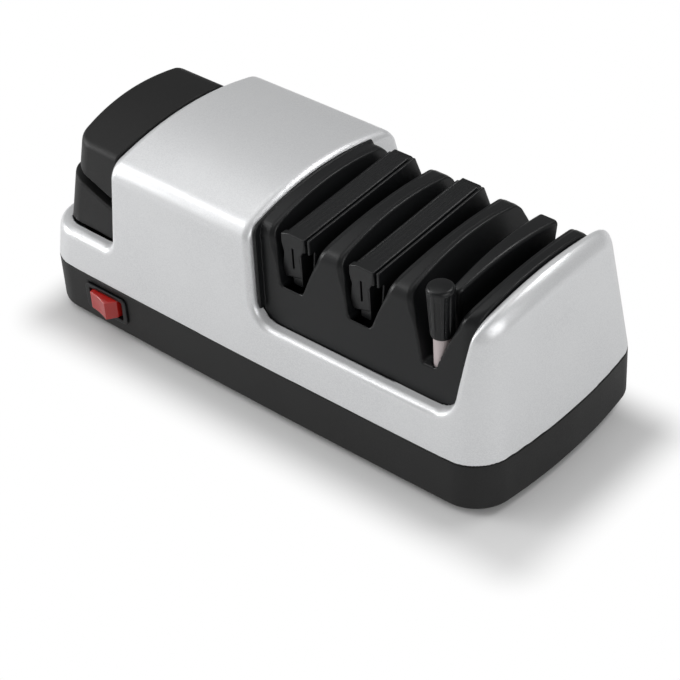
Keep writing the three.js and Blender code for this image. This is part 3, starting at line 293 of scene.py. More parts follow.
# Moulded ABS from a spark-eroded tool: flat charcoal with a tight grain that breaks highlights.
# The grain is drawn at 0.7 mm, about three times as coarse as a real one, so that it shows.
CHARCOAL = Finish(
    "spark_grain_black_abs", "#171717", "#121212", Grain.SPARKED, 0.5, 0.0, 0.7, 0.05, ior=1.4
)
# Moulded ABS of the slot module: darker and a little glossier, so its edges draw light lines.
JET = Finish(
    "satin_black_abs", "#141516", "#0f1011", Grain.SPARKED, 0.36, 0.0, 0.6, 0.02, ior=1.4
)
# Moulded acetal of the sprung guides: near-black and satin, with a slippery even face.
ACETAL = Finish(
    "polished_black_acetal", "#141516", "#0e0f10", Grain.POLISHED, 0.36, 0.0, 3.0, 0.02, ior=1.42
)
# Moulded ABS of the rocker: warm signal red with a soft gloss.
RED = Finish("signal_red_abs", "#a81a15", "#961511", Grain.POLISHED, 0.22, 0.0, 2.0, 0.02, ior=1.7)
# Fired alumina, fine and slightly rough: a chalky warm white greyed down, a painted shade for the
# rod standing in shadow.
ALUMINA_WITH_PAINTED_SHADE = Finish(
    "fired_alumina_painted_shade", "#c4b8b8", "#b3a8a9", Grain.FIRED, 0.5, 0.0, 0.5, 0.03, ior=1.7
)
# Moulded nitrile rubber: dull black that takes dust.
RUBBER = Finish("moulded_nitrile_rubber", "#242424", "#1c1c1c", Grain.SPARKED, 0.82, 0.0, 0.8, 0.04)
# Zinc-plated steel: bluish grey with fine drawn lines.
ZINC = Finish(
    "zinc_plated_steel", "#bfc3c7", "#a7abb0", Grain.DRAWN, 0.3, 1.0, 0.3, 0.01, stretch=(0.1, 1, 1)
)
# Turned and ground steel of the shafts: bright, with rings round the axis.
GROUND = Finish(
    "ground_shaft_steel", "#c9cbcd", "#b2b5b8", Grain.TURNED, 0.22, 1.0, 0.25, 0.01,
    stretch=(1, 0.1, 0.1),
)
# Drawn steel of the motor can: darker, with lines along the draw.
CAN = Finish(
    "drawn_motor_steel", "#8b8e92", "#75787c", Grain.DRAWN, 0.36, 1.0, 0.4, 0.02,
    stretch=(0.1, 1, 1),
)
# Enamelled copper windings and bars: orange brown with bands of wire 0.6 mm apart.
COPPER = Finish("enamelled_copper", "#b5683a", "#8c4a28", Grain.WOUND, 0.34, 1.0, 0.6, 0.08)
# Sintered bronze of the bushes: dull gold with open pores.
BRONZE = Finish("sintered_bronze", "#b0924f", "#94783d", Grain.PRESSED, 0.42, 1.0, 0.4, 0.02)
# Pressed ferrite and carbon: charcoal grey, matte and grainy.
FERRITE = Finish("pressed_ferrite", "#3d3e42", "#2e2f33", Grain.PRESSED, 0.7, 0.1, 0.5, 0.03)
# Diamond grit in nickel: grey and glittering. The grit is drawn at 0.3 mm, coarser than a real
# one, so that it shows.
GRIT = Finish("nickel_bonded_diamond", "#8e9195", "#6d7074", Grain.PRESSED, 0.6, 0.7, 0.3, 0.06)
# Glass-epoxy laminate under green solder resist: even and slightly glossy.
LAMINATE = Finish("green_board_laminate", "#2f6a44", "#28593a", Grain.POLISHED, 0.4, 0.0, 1.2, 0.03)


# Moulded forms: a form is a field that is negative inside, in millimetres


def rounded_cut(a: Array, b: Array, radius: float | Array) -> Array:
    """Keep what two forms share, with a round outer edge.

    Args:
        a: values of the first form.
        b: values of the second form.
        radius: the edge's radius.

    Returns:
        Values of the shared form.
    """
    deep = np.minimum(np.maximum(a, b), -radius)
    return deep + np.hypot(np.maximum(a + radius, 0), np.maximum(b + radius, 0))


def rounded_join(a: Array, b: Array, radius: float) -> Array:
    """Join two forms, with a round inner corner.

    Args:
        a: values of the first form.
        b: values of the second form.
        radius: the corner's radius.

    Returns:
        Values of the joined form.
    """
    high = np.maximum(np.minimum(a, b), radius)
    return high - np.hypot(np.maximum(radius - a, 0), np.maximum(radius - b, 0))


def graded(start: float, *runs: tuple[float, float]) -> Array:
    """Lay grid lines in runs of different fineness.

    Args:
        start: the first line.
        runs: where each run ends and how far apart its lines are.

    Returns:
        The places of the lines.
    """
    places = [start]
    for stop, step in runs:
        count = max(1, round((stop - places[-1]) / step))
        places.extend(np.linspace(places[-1], stop, count + 1)[1:])
    return np.array(places)


def ramp(values: Array, start: float | Array, run: float | Array) -> Array:
    """Rise from 0 to 1 over a run that begins at a start."""
    return np.clip((values - start) / run, 0, 1)


def shrunk(edge: tuple[float, float], inset: float) -> float:
    """Give an edge's radius at an inset, from its outer radius and its least one."""
    return max(edge[0] - inset, edge[1])


def tangent(degrees: float) -> float:
    """Give the run of a slope for each unit of height."""
    return math.tan(math.radians(degrees))


def cosine(degrees: float) -> float:
    """Give what turns a level distance from a leaning face into the square one."""
    return math.cos(math.radians(degrees))


@dataclass
class FormMesher:
    """Turns a form into a closed smooth mesh on a grid of uneven lines."""

    form: Field
    lines: Lines
    steps: int = 4
    probe: float = 0.02
    flattest: float = 0.05
    tiny: float = 1e-9

    def slope(self, places: Array) -> Array:
        """Measure the form's gradient at some places.

        Args:
            places: one row of x, y and z for each place.

        Returns:
            One gradient row for each place.
        """
        out = np.empty_like(places)
        for axis in range(3):
            shift = np.zeros(3)
            shift[axis] = self.probe
            ahead, behind = (places + shift).T, (places - shift).T
            out[:, axis] = (self.form(*ahead) - self.form(*behind)) / (2 * self.probe)
        return out

    def mesh(self) -> tuple[Array, Array, Array]:
        """Cover the form's surface with quads.

        Returns:
            Corner places, quads and outward normals.
        """
        xs, ys, zs = self.lines
        values = self.form(xs[:, None, None], ys[None, :, None], zs[None, None, :])
        values = np.broadcast_to(values, (len(xs), len(ys), len(zs)))
        inside = values < 0
        corners = [(i, j, k) for i in (0, 1) for j in (0, 1) for k in (0, 1)]
        nx, ny, nz = (len(axis) - 1 for axis in self.lines)
        count = sum(
            inside[i : nx + i, j : ny + j, k : nz + k].astype(np.int8) for i, j, k in corners
        )
        cells = np.argwhere((count > 0) & (count < len(corners)))
        number = np.full(count.shape, -1)
        number[tuple(cells.T)] = np.arange(len(cells))
        places = self.crossings(values, cells, corners)
        quads = self.quads(inside, number)
        size = min(np.diff(axis).min() for axis in self.lines)
        for _ in range(self.steps):
            gradient = self.slope(places)
            level = self.form(*places.T)
            length = np.maximum((gradient**2).sum(1), self.flattest)
            move = -gradient * (level / length)[:, None]
            reach = np.linalg.norm(move, axis=1, keepdims=True)
            places = places + move * np.minimum(1, size / np.maximum(reach, self.tiny))
        normals = self.slope(places)
        normals /= np.maximum(np.linalg.norm(normals, axis=1, keepdims=True), self.tiny)
        return places, quads, normals

    def crossings(self, values: Array, cells: Array, corners: list[tuple[int, int, int]]) -> Array:
        """Average the places where the surface crosses each cell's edges.

        Args:
            values: the form on the grid.
            cells: the indices of the cells that the surface crosses.
            corners: the eight corner offsets of a cell.

        Returns:
            One place for each cell.
        """
        total = np.zeros((len(cells), 3))
        hits = np.zeros(len(cells))
        for a in corners:
            for axis in range(3):
                if a[axis]:
                    continue
                b = tuple(v + (n == axis) for n, v in enumerate(a))
                low, high = cells + a, cells + b
                fa, fb = values[tuple(low.T)], values[tuple(high.T)]
                cross = (fa < 0) != (fb < 0)
                share = np.where(cross, fa / np.where(cross, fa - fb, 1), 0)
                start = np.stack([self.lines[n][low[:, n]] for n in range(3)], 1)
                stop = np.stack([self.lines[n][high[:, n]] for n in range(3)], 1)
                total += np.where(cross[:, None], start + (stop - start) * share[:, None], 0)
                hits += cross
        return total / hits[:, None]

    @staticmethod
    def quads(inside: Array, number: Array) -> Array:
        """Join the cells round every grid edge that the surface crosses.

        Args:
            inside: whether each grid point is in the form.
            number: the running number of each crossed cell.

        Returns:
            Quads that face outwards.
        """
        out = []
        for axis in range(3):
            u, v = (axis + 1) % 3, (axis + 2) % 3
            low = [slice(1, -1)] * 3
            high = [slice(1, -1)] * 3
            low[axis], high[axis] = slice(0, -1), slice(1, None)
            first, second = inside[tuple(low)], inside[tuple(high)]
            for leaving in (True, False):
                edges = np.argwhere((first & ~second) if leaving else (~first & second))
                edges[:, [u, v]] += 1
                ring = []
                for du, dv in ((-1, -1), (0, -1), (0, 0), (-1, 0)):
                    cell = edges.copy()
                    cell[:, u] += du
                    cell[:, v] += dv
                    ring.append(number[tuple(cell.T)])
                out.append(np.stack(ring if leaving else ring[::-1], 1))
        return np.concatenate(out)


@dataclass(frozen=True)
class Lattice:
    """Copies of one small piece in columns and rows, laid out by a node tree."""

    columns: int
    rows: int
    pitch: tuple[float, float]
    finish: Finish

    def tree(self) -> Tree:
        """Build the tree that puts the piece on every place of the lattice.

        Returns:
            The tree, with the piece, the counts, the pitch and the material as its inputs.
        """
        tree = bpy.data.node_groups.new("copies_on_a_lattice", "GeometryNodeTree")
        inputs = {
            "Piece": "NodeSocketGeometry", "Columns": "NodeSocketInt", "Rows": "NodeSocketInt",
            "Pitch": "NodeSocketVector", "Material": "NodeSocketMaterial",
        }
        for name, kind in inputs.items():
            tree.interface.new_socket(name, in_out="INPUT", socket_type=kind)
        tree.interface.new_socket("Copies", in_out="OUTPUT", socket_type="NodeSocketGeometry")
        given = add_node(tree, "NodeGroupInput").outputs
        columns, rows = given["Columns"], given["Rows"]
        number = add_node(tree, "GeometryNodeInputIndex").outputs[0]
        total = add_node(tree, "ShaderNodeMath", {"0": columns, "1": rows}, operation="MULTIPLY")
        column = add_node(tree, "ShaderNodeMath", {"0": number, "1": columns}, operation="MODULO")
        share = add_node(tree, "ShaderNodeMath", {"0": number, "1": columns}, operation="DIVIDE")
        row = add_node(tree, "ShaderNodeMath", {"0": share.outputs[0]}, operation="FLOOR")
        spot = add_node(
            tree, "ShaderNodeCombineXYZ", {"X": column.outputs[0], "Y": row.outputs[0]}
        )
        counts = add_node(tree, "ShaderNodeCombineXYZ", {"X": columns, "Y": rows})
        last = add_node(
            tree, "ShaderNodeVectorMath", {"0": counts.outputs[0]}, operation="SUBTRACT"
        )
        last.inputs[1].default_value = (1, 1, 0)
        middle = add_node(
            tree, "ShaderNodeVectorMath", {"0": last.outputs[0]}, operation="SCALE", Scale=0.5
        )
        centred = add_node(
            tree, "ShaderNodeVectorMath", {"0": spot.outputs[0], "1": middle.outputs[0]},
            operation="SUBTRACT",
        )
        place = add_node(
            tree, "ShaderNodeVectorMath", {"0": centred.outputs[0], "1": given["Pitch"]},
            operation="MULTIPLY",
        )
        points = add_node(
            tree, "GeometryNodePoints", {"Count": total.outputs[0], "Position": place.outputs[0]}
        )
        copies = add_node(
            tree, "GeometryNodeInstanceOnPoints",
            {"Points": points.outputs[0], "Instance": given["Piece"]},
        )
        solid = add_node(tree, "GeometryNodeRealizeInstances", {"Geometry": copies.outputs[0]})
        dressed = add_node(
            tree, "GeometryNodeSetMaterial",
            {"Geometry": solid.outputs[0], "Material": given["Material"]},
        )
        add_node(tree, "NodeGroupOutput", {"Copies": dressed.outputs[0]})
        return tree

    def lay(self, obj: bpy.types.Object) -> None:
        """Turn a single piece into its copies, as one plain mesh.

        Args:
            obj: the piece, made about the lattice's middle.
        """
        modifier = obj.modifiers.new("copies", "NODES")
        modifier.node_group = self.tree()
        values = {
            "Columns": self.columns, "Rows": self.rows,
            "Pitch": [step * MILLIMETRE for step in (*self.pitch, 0.0)],
            "Material": self.finish.material(),
        }
        for item in modifier.node_group.interface.items_tree:
            if item.name in values:
                modifier[item.identifier] = values[item.name]
        graph = bpy.context.evaluated_depsgraph_get()
        plain = bpy.data.meshes.new_from_object(obj.evaluated_get(graph), depsgraph=graph)
        obj.modifiers.remove(modifier)
        obj.data = plain


@dataclass
class Piece:
    """A finished mesh's body, the name of its slot, and the solids it stands for."""

    name: str
    body: str
    slot: str
    nodes: Sequence[str]
    lattice: Lattice | None = None

    def make(
        self, places: Array, faces: list[list[int]], finish: Finish, normals: Array | None = None
    ) -> bpy.types.Object:
        """Make an object, attach it to its body and hide the solids it stands for.

        Args:
            places: corner places in millimetres.
            faces: corner numbers of each face.
            finish: the piece's finish.
            normals: outward normals, one for each corner place.

        Returns:
            The object, with its place in its mesh.
        """
        data = bpy.data.meshes.new(self.name)
        data.from_pydata((places * MILLIMETRE).tolist(), [], faces)
        data.polygons.foreach_set("use_smooth", [True] * len(data.polygons))
        data.materials.append(finish.material())
        data.validate()
        if normals is not None:
            data.normals_split_custom_set_from_vertices(normals.tolist())
        obj = bpy.data.objects.new(self.name, data)
        bpy.context.scene.collection.objects.link(obj)
        if self.lattice:
            self.lattice.lay(obj)
        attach(obj, self.body)
        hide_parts(*self.nodes)
        log.info("%s: %d faces on %s", self.name, len(obj.data.polygons), self.body)
        return obj

    def mould(self, form: Field, lines: Lines, finish: Finish, shift: Sequence[float]) -> None:
        """Make the piece from a form.

        Args:
            form: the form in its own place.
            lines: the grid lines round it.
            finish: the piece's finish.
            shift: the move from its own place into the frame, in millimetres.
        """
        places, quads, normals = FormMesher(form, lines).mesh()
        self.make(places + np.array(shift), quads.tolist(), finish, normals)

    def turn(
        self, profile: list[tuple[float, float]], place: Sequence[float], axis: Vector,
        finish: Finish,
    ) -> None:
        """Make the piece by turning a profile round an axis through a place.

        Args:
            profile: closed loop of radius and height, or one that starts and ends on the axis.
            place: the foot of the axis in the frame, in millimetres.
            axis: the axis direction.
            finish: the piece's finish.
        """
        spin = UP.rotation_difference(axis).to_matrix()
        points: list[Vector] = []
        rows: list[list[int]] = []
        for radius, height in profile:
            count = TURN_STEPS if radius > 0 else 1
            rows.append(list(range(len(points), len(points) + count)))
            for i in range(count):
                angle = 2 * math.pi * i / count
                points.append(Vector((radius * math.cos(angle), radius * math.sin(angle), height)))
        closed = profile[0][0] > 0
        faces = []
        for low, high in zip(rows, rows[1:] + rows[:1] if closed else rows[1:]):
            for i in range(TURN_STEPS):
                j = (i + 1) % TURN_STEPS
                if len(low) == 1:
                    faces.append([low[0], high[j], high[i]])
                elif len(high) == 1:
                    faces.append([low[i], low[j], high[0]])
                else:
                    faces.append([low[i], low[j], high[j], high[i]])
        places = np.array([spin @ point for point in points]) + np.array(place)
        obj = self.make(places, faces, finish)
        obj.data.set_sharp_from_angle(angle=math.radians(CREASE))


def soften(profile: Profile, closed: bool = False) -> list[tuple[float, float]]:
    """Round the corners of an open or closed profile.

    Args:
        profile: radius, height and corner radius of each point.
        closed: whether the last point joins the first one.

    Returns:
        The profile as radius and height only.
    """
    out: list[tuple[float, float]] = []
    for i, (radius, height, corner) in enumerate(profile):
        if corner <= 0 or (not closed and i in (0, len(profile) - 1)):
            out.append((radius, height))
            continue
        here = np.array([radius, height])
        back = np.array(profile[i - 1][:2]) - here
        ahead = np.array(profile[(i + 1) % len(profile)][:2]) - here
        behind, before = np.linalg.norm(back), np.linalg.norm(ahead)
        facing = back @ ahead / (behind * before)
        half = math.acos(max(-1.0, min(1.0, facing))) / 2
        reach = min(corner / math.tan(half), behind / 2, before / 2)
        start, stop = here + back / behind * reach, here + ahead / before * reach
        for k in range(ROUND_STEPS + 1):
            t = k / ROUND_STEPS
            point = (1 - t) ** 2 * start + 2 * t * (1 - t) * here + t**2 * stop
            out.append((float(point[0]), float(point[1])))
    return out


@dataclass(frozen=True)
class Seat:
    """How a black piece stands in its opening in the silver shell."""

    sill: float
    gap: float
    drop: float
    back_top: float


@dataclass
class BodyForm:
    """The loaf that the whole casing follows: leaning walls, bowed ends and an arched crown."""

    length: float = 250.0
    width: float = 109.0
    seam: float = 25.4
    shoulder: float = 83.6
    crown_rise: float = 7.0
    corner: float = 14.2
    end_bow: float = 5.5
    side_bow: float = 1.2
    bow_limit: float = 1.2
    side_lean: float = 8.0
    end_lean: float = 6.0
    side_round: float = 6.0
    end_round: float = 9.0
    round_power: int = 8
    opening_left: float = 3.0
    opening_right: float = 104.4
    opening_gauge: float = 50.0
    opening_lean: float = 6.8
    opening_sill: float = 44.0
    opening_corner: float = 9.0
    notch_edge: float = -79.4
    notch_sill: float = 43.0
    notch_corner: float = 5.5
    rim_depth: float = 6.0

    @property
    def shift(self) -> tuple[float, float, float]:
        """The move from the casing's own middle to the frame's origin."""
        low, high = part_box("upper_shell")
        return 0.0, (low.y + high.y) / 2 / MILLIMETRE, 0.0

    def half_width(self, z: Array | float) -> Array | float:
        """Half the width at a height."""
        return self.width / 2 - tangent(self.side_lean) * np.maximum(z - self.seam, 0)

    def half_length(self, z: Array | float) -> Array | float:
        """Half the length at a height."""
        return self.length / 2 - tangent(self.end_lean) * np.maximum(z - self.seam, 0)

    def crown_at(self, y: Array | float) -> Array | float:
        """Height of the crown across the body."""
        return self.shoulder + self.crown_rise * (1 - (y / self.half_width(self.shoulder)) ** 2)

    def wall(self, x: Array, y: Array, z: Array) -> Array:
        """Measure how far places are outside the leaning walls.

        Args:
            x: places along the body.
            y: places across it.
            z: heights.

        Returns:
            Distances, negative inside.
        """
        a, w = self.length / 2 - self.end_bow, self.width / 2 - self.side_bow
        bow = self.side_bow * np.minimum((x / a) ** 2, self.bow_limit)
        side = np.abs(y) - self.half_width(z) + bow
        end = np.abs(x) - self.half_length(z) + self.end_bow * (y / w) ** 2
        return rounded_cut(side * cosine(self.side_lean), end * cosine(self.end_lean), self.corner)

    def top(self, y: Array, z: Array) -> Array:
        """Distance from the arched crown, negative below it."""
        slope = 2 * self.crown_rise * y / self.half_width(self.shoulder) ** 2
        return (z - self.crown_at(y)) / np.sqrt(1 + slope**2)

    def loaf(self, x: Array, y: Array, z: Array) -> Array:
        """Measure how far places are outside the whole skin with its round shoulder.

        Args:
            x: places along the body.
            y: places across it.
            z: heights.

        Returns:
            Distances, negative inside.
        """
        share = np.minimum(np.abs(x) / (self.length / 2 - self.side_round), 1) ** self.round_power
        radius = self.side_round + (self.end_round - self.side_round) * share
        return rounded_cut(self.wall(x, y, z), self.top(y, z), radius)

    def opening_sides(self, x: Array, z: Array, gap: float) -> tuple[Array, Array]:
        """Measure how far places are beyond the saddle opening's two leaning sides.

        Args:
            x: places along the body.
            z: heights.
            gap: how far both sides are moved in.

        Returns:
            Distances from the left and from the right side, negative between them.
        """
        lean = tangent(self.opening_lean) * (z - self.opening_gauge)
        squared = cosine(self.opening_lean)
        left = self.opening_left + gap - lean - x
        right = x - self.opening_right + gap - lean
        return left * squared, right * squared

    def saddle(self, x: Array, z: Array) -> Array:
        """Distance from the saddle opening, negative in it."""
        sides = np.maximum(*self.opening_sides(x, z, 0.0))
        return rounded_cut(sides, self.opening_sill - z, self.opening_corner)

    def notch(self, x: Array, z: Array) -> Array:
        """Distance from the notch for the end cover, negative in it."""
        return rounded_cut(x - self.notch_edge, self.notch_sill - z, self.notch_corner)

    def back_slope(self, y: Array, z: Array, seat: Seat) -> Array:
        """Measure how far places are behind the plane that leans in over a seat's back edge.

        Args:
            y: places across the body.
            z: heights.
            seat: the seat of the piece that the plane closes.

        Returns:
            Distances, negative in front of the plane.
        """
        foot = self.half_width(seat.sill) - self.rim_depth - seat.gap
        run, climb = foot - seat.back_top, self.crown_at(seat.back_top) - seat.drop - seat.sill
        return ((y - foot) * climb + (z - seat.sill) * run) / math.hypot(run, climb)


@dataclass
class CaseScrew:
    """Case screw that points up: domed head with a cross recess, and a threaded shank."""

    foot: float = 6.7
    top: float = 26.3
    head_radius: float = 3.0
    head_half: float = 1.0
    head_edge: float = 0.7
    cross_half: float = 0.4
    cross_reach: float = 1.7
    cross_floor: float = 1.2
    shank_radius: float = 1.45
    shank_start: float = 1.0
    thread_pitch: float = 1.3
    thread_depth: float = 0.16
    thread_slope: float = 1.2
    point_slope: float = 0.8
    point_edge: float = 0.2

    def screw_form(self, x: Array, y: Array, z: Array) -> Array:
        """Measure how far places are outside the screw.

        Args:
            x: places from its axis along the body.
            y: places from its axis across the body.
            z: heights.

        Returns:
            Values of the form.
        """
        radius, up = np.hypot(x, y), z - self.foot
        head = rounded_cut(
            radius - self.head_radius, np.abs(up - self.head_half) - self.head_half, self.head_edge
        )
        narrow, wide = np.minimum(np.abs(x), np.abs(y)), np.maximum(np.abs(x), np.abs(y))
        cross = np.maximum(narrow - self.cross_half, wide - self.cross_reach)
        head = np.maximum(head, -np.maximum(cross, up - self.cross_floor))
        turn = np.arctan2(y, x) - 2 * math.pi * up / self.thread_pitch
        shank = (radius - self.shank_radius + self.thread_depth * np.cos(turn)) / self.thread_slope
        shank = rounded_cut(shank, z - self.top + radius * self.point_slope, self.point_edge)
        return np.minimum(head, np.maximum(shank, self.shank_start - up))

    def lines(self) -> Lines:
        """Grid lines for the screw, fine enough for its thread."""
        line = graded(-3.4, (3.4, 0.22))
        return line, line, graded(self.foot - 0.5, (9, 0.22), (27, 0.26))


@dataclass
class Casing:
    """Silver upper shell, black base and what fastens and carries them."""

    form: BodyForm
    screw: CaseScrew = field(default_factory=CaseScrew)
    wall: float = 2.4
    seam_gap: float = 0.3
    seam_edge: float = 0.5
    rim_round: float = 3.0
    notch_rim_round: float = 3.7
    crown_rim_round: float = 4.6
    crown_rim_rise: tuple[float, float] = (80.0, 8.0)
    bulkhead_foot: float = 53.0
    ledge_bulkhead: float = 47.0
    base_wall: float = 3.8
    base_floor: float = 2.4
    base_top: float = 25.4
    base_foot_edge: float = 1.6
    base_top_edge: float = 0.5
    base_inner_edge: float = 1.5
    stand: float = 3.0
    hole_start: float = 40.0
    switch_at: tuple[float, float] = (-82.5, 16.0)
    switch_hole: tuple[float, float] = (11.3, 6.2)
    gland_at: tuple[float, float] = (-92.0, 14.0)
    gland_hole: float = 4.9
    foot_at: tuple[float, float] = (84.0, 38.0)
    foot_radius: float = 7.0
    foot_height: float = 3.7
    foot_gap: float = 0.3
    foot_seat: float = 1.0
    screw_at: tuple[float, float] = (104.0, 38.5)
    boss_radius: float = 5.4
    boss_top: float = 15.7
    well_radius: float = 3.3
    well_top: float = 9.0

    def shell_form(self, x: Array, y: Array, z: Array) -> Array:
        """Measure how far places are outside the shell, with deep rims at its two openings.

        Args:
            x: places along the body.
            y: places across it.
            z: heights.

        Returns:
            Values of the form.
        """
        body = self.form
        skin = body.loaf(x, y, z)
        saddle, notch = body.saddle(x, z), body.notch(x, z)
        rim = self.crown_rim_round - self.rim_round
        outer = rounded_cut(skin, -saddle, self.rim_round + rim * ramp(z, *self.crown_rim_rise))
        outer = rounded_cut(outer, -notch, self.notch_rim_round)
        outer = rounded_cut(outer, body.seam + self.seam_gap - z, self.seam_edge)
        deep = -(skin + body.rim_depth)
        rims = np.minimum(
            np.maximum(saddle - self.wall, np.minimum(deep, self.bulkhead_foot - z)),
            np.maximum(notch - self.wall, np.minimum(deep, self.ledge_bulkhead - z)),
        )
        return np.maximum(outer, np.minimum(-(skin + self.wall), rims))

    @staticmethod
    def shell_lines() -> Lines:
        """Lay the shell's grid lines, fine at its rims, shoulder and seam.

        Returns:
            The lines along the body, across it and upwards.
        """
        xs = graded(-126.2, (-112, 0.95), (-85, 1.8), (-72, 0.75), (-12, 2.5), (6, 0.75),
                    (96, 3.2), (112, 0.75), (126.2, 0.95))
        ys = graded(-56, (-36, 0.85), (36, 2.4), (56, 0.85))
        zs = graded(24.9, (27.2, 0.38), (39, 1.9), (50, 0.75), (68, 1.8), (92, 0.78))
        return xs, ys, zs

    def base_form(self, x: Array, y: Array, z: Array) -> Array:
        """Measure how far places are outside the base, with its holes, seats and bosses.

        Args:
            x: places along the body.
            y: places across it.
            z: heights.

        Returns:
            Values of the form.
        """
        wall = self.form.wall(x, y, np.minimum(z, self.form.seam))
        outer = rounded_cut(wall, self.stand - z, self.base_foot_edge)
        outer = rounded_cut(outer, z - self.base_top, self.base_top_edge)
        floor = self.stand + self.base_floor - z
        tub = np.maximum(outer, -rounded_cut(wall + self.base_wall, floor, self.base_inner_edge))
        (sx, sz), (half_wide, half_high) = self.switch_at, self.switch_hole
        window = np.maximum(np.abs(x - sx) - half_wide, np.abs(z - sz) - half_high)
        window = np.maximum(window, y + self.hole_start)
        gx, gz = self.gland_at
        bore = np.maximum(np.hypot(x - gx, z - gz) - self.gland_hole, self.hole_start - y)
        feet = np.hypot(np.abs(x) - self.foot_at[0], np.abs(y) - self.foot_at[1])
        seats = np.maximum(
            feet - self.foot_radius - self.foot_gap, z - self.stand - self.foot_seat
        )
        screws = np.hypot(np.abs(x) - self.screw_at[0], np.abs(y) - self.screw_at[1])
        boss = np.maximum(screws - self.boss_radius, np.maximum(z - self.boss_top, self.stand - z))
        wells = np.maximum(screws - self.well_radius, z - self.well_top)
        tub = np.minimum(tub, boss)
        for cut in (window, bore, seats, wells):
            tub = np.maximum(tub, -cut)
        return tub

    @staticmethod
    def base_lines() -> Lines:
        """Lay the base's grid lines, fine at its ends, edges and holes.

        Returns:
            The lines along the body, across it and upwards.
        """
        xs = graded(-126.2, (-68, 1.0), (68, 4.2), (126.2, 1.0))
        ys = graded(-56, (-28, 0.95), (28, 4.0), (56, 0.95))
        zs = graded(2.4, (6, 0.45), (23.8, 1.2), (26, 0.35))
        return xs, ys, zs

    def foot_profile(self) -> Profile:
        """Draw a foot: a ring that stands on the table round a hollow middle.

        Returns:
            Radius, height and corner radius of each point.
        """
        radius, height = self.foot_radius, self.foot_height
        return [
            (0, 0.8, 0), (radius * 0.45, 0.8, 0.5), (radius * 0.56, 0, 0.6),
            (radius * 0.94, 0, 1.0), (radius, 1.2, 0.6), (radius, height, 0.3), (0, height, 0),
        ]

    @staticmethod
    def grommet_profile(depth: float) -> Profile:
        """Draw the cord inlet's grommet: a flange outside, a groove and a lip inside.

        Args:
            depth: how far it reaches in.

        Returns:
            Radius, place along its axis and corner radius of each point.
        """
        return [
            (3.2, 0, 0.4), (5.6, 0, 0.8), (6.5, 1.2, 0.5), (6.5, 1.9, 0.3), (4.6, 2.0, 0.3),
            (4.6, 5.2, 0.3), (5.2, 5.6, 0.4), (4.7, depth, 0.3), (3.2, depth, 0.3),
        ]

    def build(self) -> None:
        """Make every piece of the casing."""
        shift = self.form.shift
        Piece("silver_shell", "body", "silver", ["upper_shell"]).mould(
            self.shell_form, self.shell_lines(), SILVER, shift
        )
        Piece("black_base", "body", "black", ["base_tray"]).mould(
            self.base_form, self.base_lines(), CHARCOAL, shift
        )
        corners = [f"{end}_{side}" for end in ("front", "back") for side in ("left", "right")]
        feet = Lattice(2, 2, (2 * self.foot_at[0], 2 * self.foot_at[1]), RUBBER)
        Piece("rubber_feet", "body", "rubber", [f"foot_{c}" for c in corners], feet).turn(
            soften(self.foot_profile()), shift, UP, RUBBER
        )
        screws = Lattice(2, 2, (2 * self.screw_at[0], 2 * self.screw_at[1]), ZINC)
        nodes = [f"case_screw_{c}" for c in corners]
        Piece("case_screws", "body", "steel", nodes, screws).mould(
            self.screw.screw_form, self.screw.lines(), ZINC, shift
        )
        low, high = (Vector(corner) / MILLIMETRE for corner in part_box("cord_gland"))
        middle = (low + high) / 2
        Piece("cord_inlet_grommet", "body", "rubber", ["cord_gland"]).turn(
            soften(self.grommet_profile(high.y - low.y), closed=True),
            (middle.x, high.y, middle.z), Vector((0, -1, 0)), RUBBER,
        )


